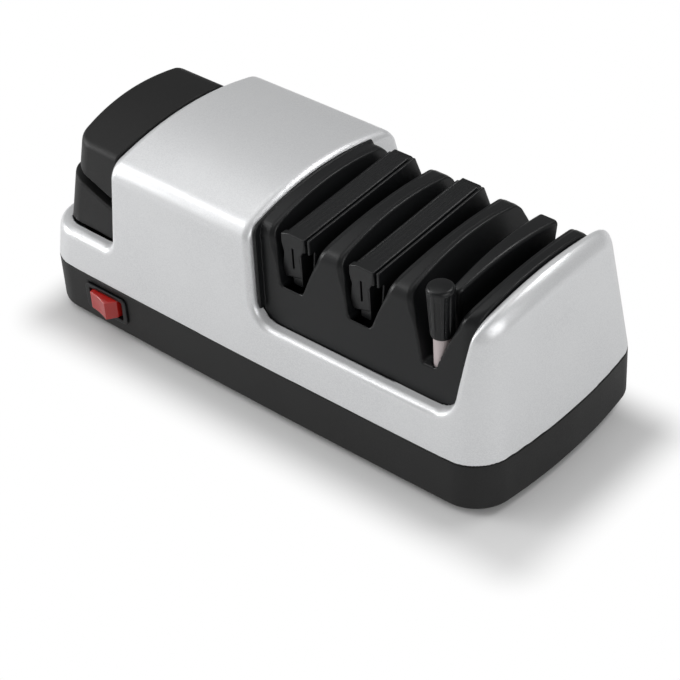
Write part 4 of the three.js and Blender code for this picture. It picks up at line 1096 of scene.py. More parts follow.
@dataclass
class EndCover:
    """Black cover in the notch: a vent block below a slanting groove and a shroud above it."""

    form: BodyForm
    gap: float = 0.8
    overlap: float = 2.0
    drop: float = 0.8
    back_top: float = 26.4
    wall: float = 2.2
    side_lean: float = 5.5
    end_lean: float = 9.5
    bow_at: float = 112.0
    corner: tuple[float, float] = (8.0, 1.5)
    crown_edge: tuple[float, float] = (2.4, 0.5)
    back_edge: tuple[float, float] = (4.0, 0.8)
    notch_gap: float = 0.3
    notch_side_edge: float = 0.4
    step: float = 2.6
    shoulder: float = 56.4
    groove: float = 5.5
    groove_slope: float = 18.0
    shroud_foot_edge: float = 0.6
    block_top_edge: float = 1.0
    neck: float = 5.5
    neck_round: float = 0.8
    ledge_gap: float = 0.1
    vent_pitch: float = 7.0
    vent_width: float = 3.0
    vents: int = 7
    vent_middle: float = 53.5
    vent_half: float = 5.5
    vent_round: float = 1.2
    vent_end: float = -94.0
    vent_edge: float = 0.5

    def solid(self, x: Array, y: Array, z: Array, inset: float, step: float) -> Array:
        """Measure how far places are outside the cover's outline.

        Args:
            x: places along the body.
            y: places across it.
            z: heights.
            inset: how far every face is moved in.
            step: how far the end is moved in besides.

        Returns:
            Values of the form.
        """
        body, sill = self.form, self.form.notch_sill
        up = z - sill
        half = body.half_width(sill) - body.rim_depth - self.gap - tangent(self.side_lean) * up
        reach = body.half_length(sill) - body.rim_depth + self.overlap
        reach = reach - tangent(self.end_lean) * up
        side = np.abs(y) - half + inset + body.side_bow * (x / self.bow_at) ** 2
        end = -x - reach + inset + step + body.end_bow * (y / half) ** 2
        plan = rounded_cut(side, end * cosine(self.end_lean), shrunk(self.corner, inset))
        top = body.top(y, z) + self.drop + inset
        solid = rounded_cut(plan, top, shrunk(self.crown_edge, inset))
        seat = Seat(sill, self.gap, self.drop, self.back_top)
        back = body.back_slope(y, z, seat) + inset
        solid = rounded_cut(solid, back, shrunk(self.back_edge, inset))
        notch_side = x - body.notch_edge + self.notch_gap + inset
        return rounded_cut(solid, notch_side, self.notch_side_edge)

    def above_edge(self, x: Array, z: Array) -> Array:
        """Height above the slanting line that starts at the notch edge."""
        line = tangent(self.groove_slope) * (self.form.notch_edge - x)
        return (z - line) * cosine(self.groove_slope)

    def shroud_form(self, x: Array, y: Array, z: Array) -> Array:
        """Measure how far places are outside the shroud, a shell above the groove.

        Args:
            x: places along the body.
            y: places across it.
            z: heights.

        Returns:
            Values of the form.
        """
        foot = (self.shoulder + self.groove) * cosine(self.groove_slope) - self.above_edge(x, z)
        outer = rounded_cut(self.solid(x, y, z, 0, self.step), foot, self.shroud_foot_edge)
        return np.maximum(outer, -self.solid(x, y, z, self.wall, self.step))

    def block_form(self, x: Array, y: Array, z: Array) -> Array:
        """Measure how far places are outside the block, with its neck in the shroud and its vents.

        Args:
            x: places along the body.
            y: places across it.
            z: heights.

        Returns:
            Values of the form.
        """
        squared = cosine(self.groove_slope)
        edge = self.above_edge(x, z)
        shroud_foot = self.shoulder + self.groove
        top = edge - self.shoulder * squared
        body = rounded_cut(self.solid(x, y, z, 0, 0), top, self.block_top_edge)
        neck = self.solid(x, y, z, self.neck, self.step)
        neck = np.maximum(neck, edge - (shroud_foot + self.neck) * squared)
        hollow = self.solid(x, y, z, self.neck + self.wall, self.step)
        hollow = np.maximum(hollow, edge - shroud_foot * squared)
        ledge = self.form.notch(x, z) + self.ledge_gap
        both = np.maximum(rounded_join(body, neck, self.neck_round), ledge)
        both = np.maximum(both, -hollow)
        last = (self.vents - 1) / 2
        lane = np.abs(y - np.clip(np.round(y / self.vent_pitch), -last, last) * self.vent_pitch)
        high = np.abs(z - self.vent_middle) - self.vent_half
        vent = rounded_cut(lane - self.vent_width / 2, high, self.vent_round)
        return rounded_cut(both, -np.maximum(vent, x - self.vent_end), self.vent_edge)

    def build(self) -> None:
        """Make the shroud and the vent block."""
        shift = self.form.shift
        xs = graded(-118.5, (-92, 0.8), (-80, 1.2), (-77.2, 0.3))
        shroud_ys = graded(-47.6, (-34, 0.8), (20, 2.0), (47.6, 0.9))
        Piece("end_cover_shroud", "body", "black", ["end_shroud"]).mould(
            self.shroud_form, (xs, shroud_ys, graded(56, (92, 0.75))), CHARCOAL, shift
        )
        block_ys = graded(-47.6, (-34, 0.8), (-26, 1.2), (26, 0.6), (34, 1.2), (47.6, 0.8))
        Piece("end_cover_block", "body", "black", ["vent_block"]).mould(
            self.block_form, (xs, block_ys, graded(40.4, (82, 0.75))), CHARCOAL, shift
        )


@dataclass
class Hone:
    """Lift-out ceramic rod in its black fluted handle."""

    setback: float = 38.25
    lift: float = 2.2
    length: float = 23.7
    top_radius: float = 5.8
    top_dome: float = 0.12
    top_edge: float = 1.7
    foot_radius: float = 4.5
    foot_edge: float = 0.8
    flutes: int = 8
    flute_half: float = 1.2
    flute_depth: float = 0.5
    flute_floor_edge: float = 0.35
    flute_rim_edge: float = 0.45
    flute_start: tuple[float, float] = (0.8, 4.0)
    flute_end: tuple[float, float] = (2.2, 3.0)
    rod_radius: float = 3.45
    rod_length: float = 37.0
    rod_grip: float = 12.0
    rod_gap: float = 0.3
    rod_foot_edge: float = 1.2
    rod_top_edge: float = 0.5

    def handle_form(self, x: Array, y: Array, z: Array) -> Array:
        """Measure how far places are outside the handle: a tapering grip with wide flutes.

        Args:
            x: places from its axis along the body.
            y: places from its axis across the body.
            z: heights above its foot.

        Returns:
            Values of the form.
        """
        radius = np.hypot(x, y)
        taper = (self.top_radius - self.foot_radius) / self.length
        grip = (radius - self.foot_radius - taper * z) / math.hypot(1, taper)
        dome = z - self.length + self.top_dome * radius**2 / self.top_radius
        grip = rounded_cut(grip, dome, self.top_edge)
        turn = 2 * math.pi / self.flutes
        local = (np.arctan2(y, x) + turn) % turn - turn / 2
        across = np.abs(radius * np.sin(local))
        near_top, top_run = self.flute_end
        fade = ramp(z, *self.flute_start) * ramp(-z, near_top - self.length, top_run)
        floor = self.foot_radius + taper * z - self.flute_depth * fade
        flute = rounded_cut(across - self.flute_half, floor - radius, self.flute_floor_edge)
        grip = rounded_cut(grip, -flute, self.flute_rim_edge)
        grip = rounded_cut(grip, -z, self.foot_edge)
        bore = np.maximum(radius - self.rod_radius, z - self.rod_grip) - self.rod_gap
        return np.maximum(grip, -bore)

    def build(self) -> None:
        """Make the handle and the rod."""
        low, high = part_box("hone_handle")
        middle = (low + high) / 2 / MILLIMETRE
        place = (middle.x, middle.y, low.z / MILLIMETRE + self.lift)
        line = graded(-6.8, (6.8, 0.25))
        lines = line, line, graded(-0.6, (3, 0.4), (17, 0.8), (24.5, 0.35))
        Piece("rod_handle", "hone", "black", ["hone_handle"]).mould(
            self.handle_form, lines, JET, place
        )
        bottom = self.rod_grip - self.rod_length
        profile = [
            (0, bottom, 0), (self.rod_radius, bottom, self.rod_foot_edge),
            (self.rod_radius, self.rod_grip, self.rod_top_edge), (0, self.rod_grip, 0),
        ]
        Piece("hone_stick", "hone", "ceramic", ["hone_rod"]).turn(
            soften(profile), place, UP, ALUMINA_WITH_PAINTED_SHADE
        )


@dataclass
class SprungGuide:
    """Sprung guide in a slot: ribbed cap on a stem, a shaped front plate and two leaves.

    The two outlines give heights, and at each of them the plate's side from the slot's middle.
    """

    form: BodyForm
    number: int
    floor: float
    mouth_height: float
    front: float = 39.2
    back: float = 28.5
    rear_rise: float = 1.6
    proud: float = 0.8
    lip_rise: float = 0.4
    cap_middle: float = 0.1
    cap_half: float = 4.7
    cap_depth: float = 5.0
    cap_edge: float = 0.6
    cap_end_edge: float = 0.8
    cap_foot_edge: float = 0.4
    rib_height: float = 0.11
    rib_pitch: float = 2.35
    rib_run: tuple[float, float] = (-34.0, 4.0)
    rear_steps: int = 2
    rear_step_start: float = 5.4
    rear_step_run: float = 2.4
    rear_step_drop: float = 0.6
    rear_drop: float = 0.3
    stem_half: float = 2.5
    stem_lap: float = 1.0
    plate_middle: float = 1.3
    plate_half: float = 1.5
    plate_edges: tuple[float, float, float] = (0.6, 0.5, 0.4)
    plate_left: float = -5.2
    left_outline: tuple[tuple[float, ...], tuple[float, ...]] = (
        (63.2, 65.2, 69.2, 76.2, 80.6, 84.6, 86.2), (-5.2, -6.7, -7.7, -6.6, -7.7, -7.5, -6.6),
    )
    right_outline: tuple[tuple[float, ...], tuple[float, ...]] = (
        (65.2, 67.0, 69.8, 76.2, 80.4, 84.0), (1.4, 2.2, 2.5, 1.9, 4.3, 4.7),
    )
    plate_foot: float = 64.4
    plate_foot_slope: float = 0.26
    plate_top: float = 85.6
    plate_top_slope: float = 0.35
    plate_top_run: float = 2.0
    web_middle: float = -0.9
    web_half: float = 0.45
    web_sink: float = 0.2
    web_top: float = 66.0
    slit_middle: tuple[float, float] = (-1.7, 74.6)
    slit_half: tuple[float, float] = (0.45, 4.9)
    slit_edge: float = 0.3
    slit_depth: float = 1.4
    leaf_thick: float = 1.2
    leaf_foot: float = 64.6
    leaf_foot_place: float = 4.5
    leaf_spread: float = 1.5
    leaf_spread_run: float = 13.0
    leaf_shoulder: float = 79.5
    leaf_front_sinks: tuple[float, float] = (0.2, 3.3)
    leaf_back_slope: float = 0.38
    leaf_back_from: float = 86.0
    leaf_back_run: float = 12.0
    leaf_edges: tuple[float, float] = (1.0, 0.5)
    left_leaf_drop: float = 1.8

    def cap_top(self, y: Array, z: Array, proud: float) -> Array:
        """Measure how far places are above the straight top, which rises to the back.

        Args:
            y: places across the body.
            z: heights.
            proud: how far the top stands above the crown's edge.

        Returns:
            Distances, negative below the top.
        """
        low = self.form.crown_at(self.front)
        rise = self.form.crown_at(self.back) + self.rear_rise - low
        slope = rise / (self.front + self.back)
        return (z - low - slope * (y + self.front) - proud) / math.hypot(1, slope)

    def cap_form(self, x: Array, y: Array, z: Array, top: Array) -> Array:
        """Measure how far places are outside the cap, whose back end comes down in steps.

        Args:
            x: places from the slot's middle.
            y: places across the body.
            z: heights.
            top: distances from the ribbed top.

        Returns:
            Values of the form.
        """
        span = np.maximum(-y - self.front, y - self.back)
        cap = rounded_cut(np.abs(x - self.cap_middle) - self.cap_half, top, self.cap_edge)
        cap = rounded_cut(cap, span, self.cap_end_edge)
        steps = (y - self.back + self.rear_step_start) // self.rear_step_run
        steps = np.clip(steps, 0, self.rear_steps)
        sunk = self.proud - self.rear_drop - self.rear_step_drop * steps
        cap = np.maximum(cap, self.cap_top(y, z, sunk))
        return rounded_cut(cap, self.mouth_height - self.cap_depth - z, self.cap_foot_edge)

    def plate_form(self, x: Array, front: Array, z: Array, top: Array) -> Array:
        """Measure how far places are outside the front plate, whose sides are waisted.

        Args:
            x: places from the slot's middle.
            front: distances from the plate's faces.
            z: heights.
            top: distances from the ribbed top.

        Returns:
            Values of the form.
        """
        left, right = np.interp(z, *self.left_outline), np.interp(z, *self.right_outline)
        side_edge, foot_edge, top_edge = self.plate_edges
        along = x - self.plate_left
        foot = self.plate_foot + self.plate_foot_slope * along - z
        foot = foot / math.hypot(1, self.plate_foot_slope)
        plate = rounded_cut(np.maximum(left - x, x - right), front, side_edge)
        plate = rounded_cut(plate, foot, foot_edge)
        brow = z - self.plate_top - self.plate_top_slope * np.minimum(along, self.plate_top_run)
        return rounded_cut(plate, np.maximum(top, brow), top_edge)

    def core_form(self, x: Array, y: Array, z: Array) -> Array:
        """Measure how far places are outside the core: cap, stem, front plate and its web.

        Args:
            x: places from the slot's middle.
            y: places across the body.
            z: heights.

        Returns:
            Values of the form.
        """
        ribs = self.rib_height * np.cos(2 * math.pi * (x - self.cap_middle) / self.rib_pitch)
        top = self.cap_top(y, z, self.proud - self.lip_rise) + ribs * ramp(y, *self.rib_run)
        low = self.floor - z
        span = np.maximum(-y - self.front, y - self.back)
        stem_top = z - (self.mouth_height - self.cap_depth) - self.stem_lap
        stem = np.maximum(np.maximum(np.abs(x) - self.stem_half, low), np.maximum(stem_top, span))
        front = np.abs(y + self.front - self.plate_middle) - self.plate_half
        web = np.maximum(np.abs(x - self.web_middle) - self.web_half, front + self.web_sink)
        web = np.maximum(web, np.maximum(low, z - self.web_top))
        whole = np.minimum(
            np.minimum(self.cap_form(x, y, z, top), stem),
            np.minimum(self.plate_form(x, front, z, top), web),
        )
        (across, high), (half_wide, half_high) = self.slit_middle, self.slit_half
        slit = rounded_cut(
            np.abs(x - across) - half_wide, np.abs(z - high) - half_high, self.slit_edge
        )
        return np.maximum(whole, -np.maximum(slit, y + self.front - self.slit_depth))

    def leaf_form(self, side: int) -> Field:
        """Give a flexible leaf beside the guide's core.

        Args:
            side: -1 for the left leaf, and 1 for the right one, whose top stands proud as a lip.

        Returns:
            The leaf's form about its slot's middle.
        """
        proud = self.proud if side > 0 else -self.left_leaf_drop
        half = self.leaf_thick / 2
        front_sink, foot_sink = self.leaf_front_sinks
        outer_edge, face_edge = self.leaf_edges

        def form(x: Array, y: Array, z: Array) -> Array:
            """Measure how far places are outside the plate that hangs beside the cap.

            Args:
                x: places from the slot's middle.
                y: places across the body.
                z: heights.

            Returns:
                Values of the form.
            """
            spread = self.leaf_spread * ramp(z, self.leaf_foot, self.leaf_spread_run)
            plate = np.abs(side * x - (self.leaf_foot_place + spread) - half) - half
            sink = np.where(z > self.leaf_shoulder, front_sink, foot_sink)
            lean = self.leaf_back_slope * np.minimum(self.leaf_back_from - z, self.leaf_back_run)
            ends = np.maximum(-y - self.front + sink, y - self.back - lean)
            edge = rounded_cut(self.cap_top(y, z, proud), ends, outer_edge)
            edge = rounded_cut(edge, self.leaf_foot - z, face_edge)
            return rounded_cut(plate, edge, face_edge)

        return form

    def build(self, shift: Array) -> None:
        """Make the core and the two leaves.

        Args:
            shift: the move from the slot's middle into the frame, in millimetres.
        """
        core_lines = (
            graded(-8.4, (5.6, 0.26)),
            graded(-40.6, (-35, 0.36), (20, 1.6), (29.4, 0.45)),
            graded(61.4, (67, 0.36), (78, 0.6), (91.6, 0.36)),
        )
        core = f"guide_core_{self.number}"
        Piece(f"guide_core_moulding_{self.number}", "body", "gloss_black", [core]).mould(
            self.core_form, core_lines, ACETAL, shift
        )
        ys = graded(-39.8, (-34.6, 0.45), (24, 2.2), (33.8, 0.6))
        zs = graded(63.8, (68, 0.45), (78, 1.2), (91, 0.45))
        for name, side in (("left", -1), ("right", 1)):
            lines = np.sort(graded(4.0, (8.2, 0.3)) * side), ys, zs
            leaf = f"{self.number}_{name}"
            Piece(
                f"guide_leaf_moulding_{leaf}", f"leaf_{leaf}", "gloss_black", [f"guide_leaf_{leaf}"]
            ).mould(self.leaf_form(side), lines, ACETAL, shift)


@dataclass
class SlotModule:
    """Black module with three knife slots, two sprung guides and the divider of the last slot."""

    form: BodyForm
    hone: Hone
    centres: tuple[float, float, float] = (18.3, 53.4, 87.8)
    skew: float = 1.2
    mouth_half: float = 12.3
    mouth_height: float = 84.5
    floors: tuple[float, float, float] = (61.6, 61.6, 57.5)
    floor_halves: tuple[float, float, float] = (5.6, 5.6, 3.1)
    floor_edge: float = 0.8
    gap: float = 0.3
    drop: float = 0.9
    back_top: float = 30.5
    bottom: float = 41.0
    wall: float = 2.2
    brow: tuple[float, float] = (4.2, 0.4)
    back_edge: tuple[float, float] = (3.5, 0.5)
    side_edge: float = 0.5
    lip_depth: float = 3.2
    lip_drop: float = 0.5
    lip_width: float = 1.5
    lip_round: float = 3.0
    lip_edge: float = 0.5
    edge: float = 0.75
    mouth_corner: float = 1.6
    corner_run: tuple[float, float] = (33.0, 9.0)
    corner_rise: tuple[float, float] = (70.0, 8.0)
    bead_width: float = 2.1
    bead_run: float = 1.0
    bead_depth: float = 0.28
    bead_rise: tuple[float, float] = (74.0, 4.0)
    shaft_half: float = 12.0
    shaft_top: float = 53.0
    window_middle: tuple[float, float] = (-7.0, 61.5)
    window_half: tuple[float, float, float] = (5.0, 35.0, 3.5)
    socket_radius: float = 5.65
    socket_foot: float = 44.0
    socket_sink: float = 0.6
    bore_radius: float = 3.85
    bore_foot: float = 44.9
    guide_places: tuple[float, float] = (18.9, 54.1)
    divider_place: float = 90.9
    divider_end: float = 29.5
    divider_halves: tuple[float, float] = (2.35, 4.5)
    divider_foot_half: float = 1.0
    divider_edges: tuple[float, float, float, float] = (2.2, 1.7, 0.8, 0.4)

    @property
    def seat(self) -> Seat:
        """How the module stands in the saddle opening."""
        return Seat(self.form.opening_sill, self.gap, self.drop, self.back_top)

    def slots(self, x: Array, z: Array, grow: float) -> Array:
        """Measure how far places are from the three V slots.

        Args:
            x: places along the body.
            z: heights.
            grow: how far every wall is moved out.

        Returns:
            Values of the form, negative in the slots.
        """
        slots = []
        for centre, floor, half in zip(self.centres, self.floors, self.floor_halves):
            walls = []
            for side in (-1, 1):
                slope = (side * self.skew + self.mouth_half - half) / (self.mouth_height - floor)
                across = side * (x - centre) - half - slope * (z - floor)
                walls.append(across / math.hypot(1, slope))
            slots.append(rounded_cut(np.maximum(*walls) - grow, floor - grow - z, self.floor_edge))
        return np.minimum(np.minimum(slots[0], slots[1]), slots[2])

    def block(self, x: Array, y: Array, z: Array, inset: float) -> Array:
        """Measure how far places are outside the module before its slots are cut.

        Args:
            x: places along the body.
            y: places across it.
            z: heights.
            inset: how far every face is moved in.

        Returns:
            Values of the form.
        """
        body = self.form
        front = body.wall(x, y, z) + body.rim_depth + self.gap + inset
        top = body.top(y, z) + self.drop + inset
        solid = rounded_cut(front, top, shrunk(self.brow, inset))
        back = body.back_slope(y, z, self.seat) + inset
        solid = rounded_cut(solid, back, shrunk(self.back_edge, inset))
        sides = np.maximum(*body.opening_sides(x, z, self.gap)) + inset
        return rounded_cut(solid, sides, self.side_edge)

    def lip(self, x: Array, y: Array, z: Array) -> Array:
        """Measure how far places are outside the thin flange beside the opening's left rim.

        Args:
            x: places along the body.
            y: places across it.
            z: heights.

        Returns:
            Values of the form.
        """
        body = self.form
        beyond = body.opening_sides(x, z, self.gap)[0]
        band = np.maximum(-beyond - self.lip_width, beyond)
        face = rounded_cut(
            body.wall(x, y, z) + self.lip_depth, body.top(y, z) + self.lip_drop, self.lip_round
        )
        shape = np.maximum(face, body.back_slope(y, z, self.seat))
        shape = np.maximum(shape, body.opening_sill + self.gap - z)
        return np.maximum(rounded_cut(shape, band, self.lip_edge), body.saddle(x, z) + self.gap)

    def module_form(self, x: Array, y: Array, z: Array) -> Array:
        """Measure how far places are outside the module, with its slots, windows and socket.

        Args:
            x: places along the body.
            y: places across it.
            z: heights.

        Returns:
            Values of the form.
        """
        block, mouths = self.block(x, y, z, 0), self.slots(x, z, 0)
        front = ramp(-y, *self.corner_run) * ramp(z, *self.corner_rise)
        sink = ramp(-mouths, -self.bead_width, self.bead_run) * ramp(z, *self.bead_rise)
        outer = rounded_cut(
            block + self.bead_depth * sink**2 * (3 - 2 * sink), -mouths,
            self.edge + self.mouth_corner * front,
        )
        outer = np.maximum(np.minimum(outer, self.lip(x, y, z)), self.bottom - z)
        hollow = np.maximum(self.block(x, y, z, self.wall), -self.slots(x, z, self.wall))
        shaft = np.maximum(np.abs(y) - self.shaft_half, z - self.shaft_top)
        solid = np.maximum(np.maximum(outer, -hollow), -shaft)
        (middle, height), (half_x, half_y, half_z) = self.window_middle, self.window_half
        for centre in self.centres[:2]:
            window = np.maximum(np.abs(x - centre) - half_x, np.abs(y - middle) - half_y)
            solid = np.maximum(solid, -np.maximum(window, np.abs(z - height) - half_z))
        across = np.hypot(x - self.divider_place, y + self.hone.setback)
        socket = np.maximum(across - self.socket_radius, z - self.floors[2])
        socket = np.maximum(socket, np.maximum(self.socket_foot - z, block + self.socket_sink))
        bore = np.maximum(across - self.bore_radius, self.bore_foot - z)
        return np.maximum(np.minimum(solid, socket), -bore)

    @staticmethod
    def module_lines() -> Lines:
        """Lay the module's grid lines, fine at its slots' edges and its top.

        Returns:
            The lines along the body, across it and upwards.
        """
        xs = graded(-3.2, (10, 0.42), (28, 0.9), (46, 0.42), (63, 0.9), (80, 0.42), (98, 0.9),
                    (112.4, 0.45))
        ys = graded(-50, (-36, 0.66), (-8, 1.6), (22, 2.0), (47, 0.9))
        zs = graded(40.4, (56, 1.3), (66, 0.7), (78, 0.95), (91.2, 0.62))
        return xs, ys, zs

    def divider_form(self, x: Array, y: Array, z: Array) -> Array:
        """Measure how far places are outside the divider, round-nosed and wider to the back.

        Args:
            x: places from the divider's middle.
            y: places across the body.
            z: heights.

        Returns:
            Values of the form.
        """
        end, thin = self.divider_end, self.divider_foot_half
        nose_edge, crown_edge, back_edge, foot_edge = self.divider_edges
        narrow, wide = self.divider_halves
        half = narrow + (wide - narrow) * ramp(y, -end, 2 * end)
        foot = self.floors[2] + self.gap
        top = self.form.crown_at(y) - self.drop
        width = thin + (half - thin) * ramp(z, foot, top - half / 2 - foot)
        body = rounded_cut(np.abs(x) - width, -y - end, nose_edge)
        body = rounded_cut(body, self.form.top(y, z) + self.drop, crown_edge)
        body = rounded_cut(body, y - end, back_edge)
        return rounded_cut(body, foot - z, foot_edge)

    def build(self) -> None:
        """Make the module, the guides with their leaves, and the divider."""
        shift = np.array(self.form.shift)
        Piece("slot_block", "body", "black", ["slot_module"]).mould(
            self.module_form, self.module_lines(), JET, shift
        )
        for number, place in enumerate(self.guide_places, 1):
            guide = SprungGuide(self.form, number, self.floors[0] + self.gap, self.mouth_height)
            guide.build(shift + (place, 0, 0))
        lines = (
            graded(-5.4, (5.4, 0.4)), graded(-30.4, (-24, 0.5), (26, 1.8), (30.4, 0.5)),
            graded(57, (60, 0.5), (78, 1.2), (90.8, 0.42)),
        )
        Piece("last_slot_divider", "body", "gloss_black", ["stage_divider"]).mould(
            self.divider_form, lines, ACETAL, shift + (self.divider_place, 0, 0)
        )


@dataclass
class RockerSwitch:
    """Red rocker in a black bezel in the base's front wall."""

    form: BodyForm
    place: tuple[float, float] = (-82.5, 16.0)
    width: float = 24.5
    height: float = 13.0
    corner: float = 2.4
    flange_middle: float = 0.75
    flange_half: float = 0.45
    ring_inset: tuple[float, float] = (2.4, 2.0)
    ring_corner: float = 1.6
    ring_foot: float = 0.4
    proud: float = 1.2
    edges: tuple[float, float] = (0.35, 0.3)
    body_width: float = 22.0
    body_height: float = 11.8
    body_corner: float = 1.2
    body_front: float = 0.9
    depth: float = 19.0
    wall: float = 1.2
    well_corner: float = 0.6
    pivot: float = 4.0
    tilt: float = 13.0
    crest: float = 8.6
    crest_half: float = 5.85
    crest_edge: float = 0.35
    dish: float = 0.5
    dish_edge: float = 0.3
    skirt: float = 3.6
    skirt_half: float = 7.9
    under_run: tuple[float, float] = (3.5, 3.9)
    rocker_half: float = 4.4
    rocker_foot: float = 3.5
    rocker_edge: float = 0.4
    pin_radius: float = 1.3
    pin_length: float = 0.9
    pin_hole: float = 1.6

    @property
    def face(self) -> float:
        """Find the base's bowed front wall at the switch.

        Returns:
            The wall's place across the body.
        """
        body = self.form
        a = body.length / 2 - body.end_bow
        return -(body.width / 2 - body.side_bow * (self.place[0] / a) ** 2)

    def bezel_form(self, x: Array, y: Array, z: Array) -> Array:
        """Measure how far places are outside the bezel: a stepped flange round a deep well.

        Args:
            x: places from the switch's middle along the body.
            y: places behind the wall's face.
            z: heights from the switch's middle.

        Returns:
            Values of the form.
        """

        def plate(width: float, height: float, corner: float) -> Array:
            """An upright rounded rectangle."""
            return rounded_cut(np.abs(x) - width / 2, np.abs(z) - height / 2, corner)

        flange_edge, ring_edge = self.edges
        flange = rounded_cut(
            plate(self.width, self.height, self.corner),
            np.abs(y + self.flange_middle) - self.flange_half, flange_edge,
        )
        less_wide, less_high = self.ring_inset
        ring = plate(self.width - less_wide, self.height - less_high, self.ring_corner)
        ring = np.maximum(rounded_cut(ring, -y - self.proud, ring_edge), y + self.ring_foot)
        body = np.maximum(
            plate(self.body_width, self.body_height, self.body_corner),
            np.maximum(-y - self.body_front, y - self.depth),
        )
        well = plate(
            self.body_width - 2 * self.wall, self.body_height - 2 * self.wall, self.well_corner
        )
        well = np.maximum(well, y - self.depth + self.wall)
        pins = np.maximum(np.hypot(x, y - self.pivot) - self.pin_hole, np.abs(z) - self.body_height)
        solid = np.minimum(np.minimum(flange, ring), body)
        return np.maximum(rounded_cut(solid, -well, flange_edge), -pins)

    def rocker_form(self, x: Array, y: Array, z: Array) -> Array:
        """Measure how far places are outside the rocker: a dished face with sloping ends.

        Args:
            x: places from its pins along the body.
            y: places behind its pins.
            z: heights from its pins.

        Returns:
            Values of the form, turned so that its left end is pressed.
        """
        angle = math.radians(self.tilt)
        across = x * math.cos(angle) - y * math.sin(angle)
        out = -(x * math.sin(angle) + y * math.cos(angle))
        beyond = np.abs(across) - self.skirt_half
        run, climb = self.skirt_half - self.crest_half, self.crest - self.skirt
        slope = (beyond * climb + (out - self.skirt) * run) / math.hypot(run, climb)
        hull = rounded_cut(np.maximum(beyond, slope), out - self.crest, self.crest_edge)
        bend = (self.crest_half**2 + self.dish**2) / (2 * self.dish)
        dish = np.hypot(across, out - self.crest + self.dish - bend) - bend
        hull = rounded_cut(hull, -dish, self.dish_edge)
        rise, drop = self.under_run
        under = (-out * drop + beyond * rise) / math.hypot(drop, rise)
        hull = np.maximum(np.maximum(hull, under), -out - self.rocker_foot)
        hull = rounded_cut(hull, np.abs(z) - self.rocker_half, self.rocker_edge)
        pins = np.maximum(
            np.hypot(across, out) - self.pin_radius, np.abs(z) - self.rocker_half - self.pin_length
        )
        return np.minimum(hull, pins)

    def build(self) -> None:
        """Make the bezel and the rocker."""
        shift = np.array(self.form.shift) + (self.place[0], self.face, self.place[1])
        bezel_lines = (
            graded(-12.8, (-8.5, 0.25), (8.5, 0.6), (12.8, 0.25)),
            graded(-1.7, (1.2, 0.24), (19.6, 0.9)), graded(-7.0, (7.0, 0.25)),
        )
        Piece("switch_surround", "body", "black", ["switch_bezel"]).mould(
            self.bezel_form, bezel_lines, JET, shift
        )
        rocker_lines = (
            graded(-9.4, (9.4, 0.24)), graded(-10.4, (5.0, 0.26)), graded(-5.8, (5.8, 0.26)),
        )
        Piece("red_rocker", "rocker", "red", ["switch_rocker"]).mould(
            self.rocker_form, rocker_lines, RED, shift + (0, self.pivot, 0)
        )


@dataclass(frozen=True)
class Lamp:
    """A soft rectangular lamp, in metres and watts."""

    name: str
    place: tuple[float, float, float]
    aim: tuple[float, float, float]
    size: tuple[float, float]
    watts: float

    def hang(self) -> None:
        """Add the lamp to the scene."""
        data = bpy.data.lights.new(self.name, "AREA")
        data.shape = "RECTANGLE"
        data.size, data.size_y = self.size
        data.energy = self.watts
        obj = bpy.data.objects.new(self.name, data)
        obj.location = self.place
        way = Vector(self.aim) - Vector(self.place)
        obj.rotation_euler = way.to_track_quat("-Z", "Y").to_euler()
        bpy.context.scene.collection.objects.link(obj)


LAMPS = (
    Lamp("shoulder_softbox", (-0.8, -0.65, 1.1), (0, 0, 0.06), (0.7, 0.34), 2.4),
    Lamp("overhead_softbox", (-0.5, -0.1, 1.35), (0, 0, 0.05), (1.5, 1.1), 5),
    Lamp("front_key", (-1.4, -0.75, 0.5), (0, 0, 0.05), (0.6, 0.5), 10),
    Lamp("rim_light", (0.42, 0.8, 1.15), (0, 0, 0.08), (0.5, 0.35), 4),
    Lamp("end_fill", (1.4, -0.2, 0.75), (0, 0, 0.05), (1.0, 0.8), 6),
)


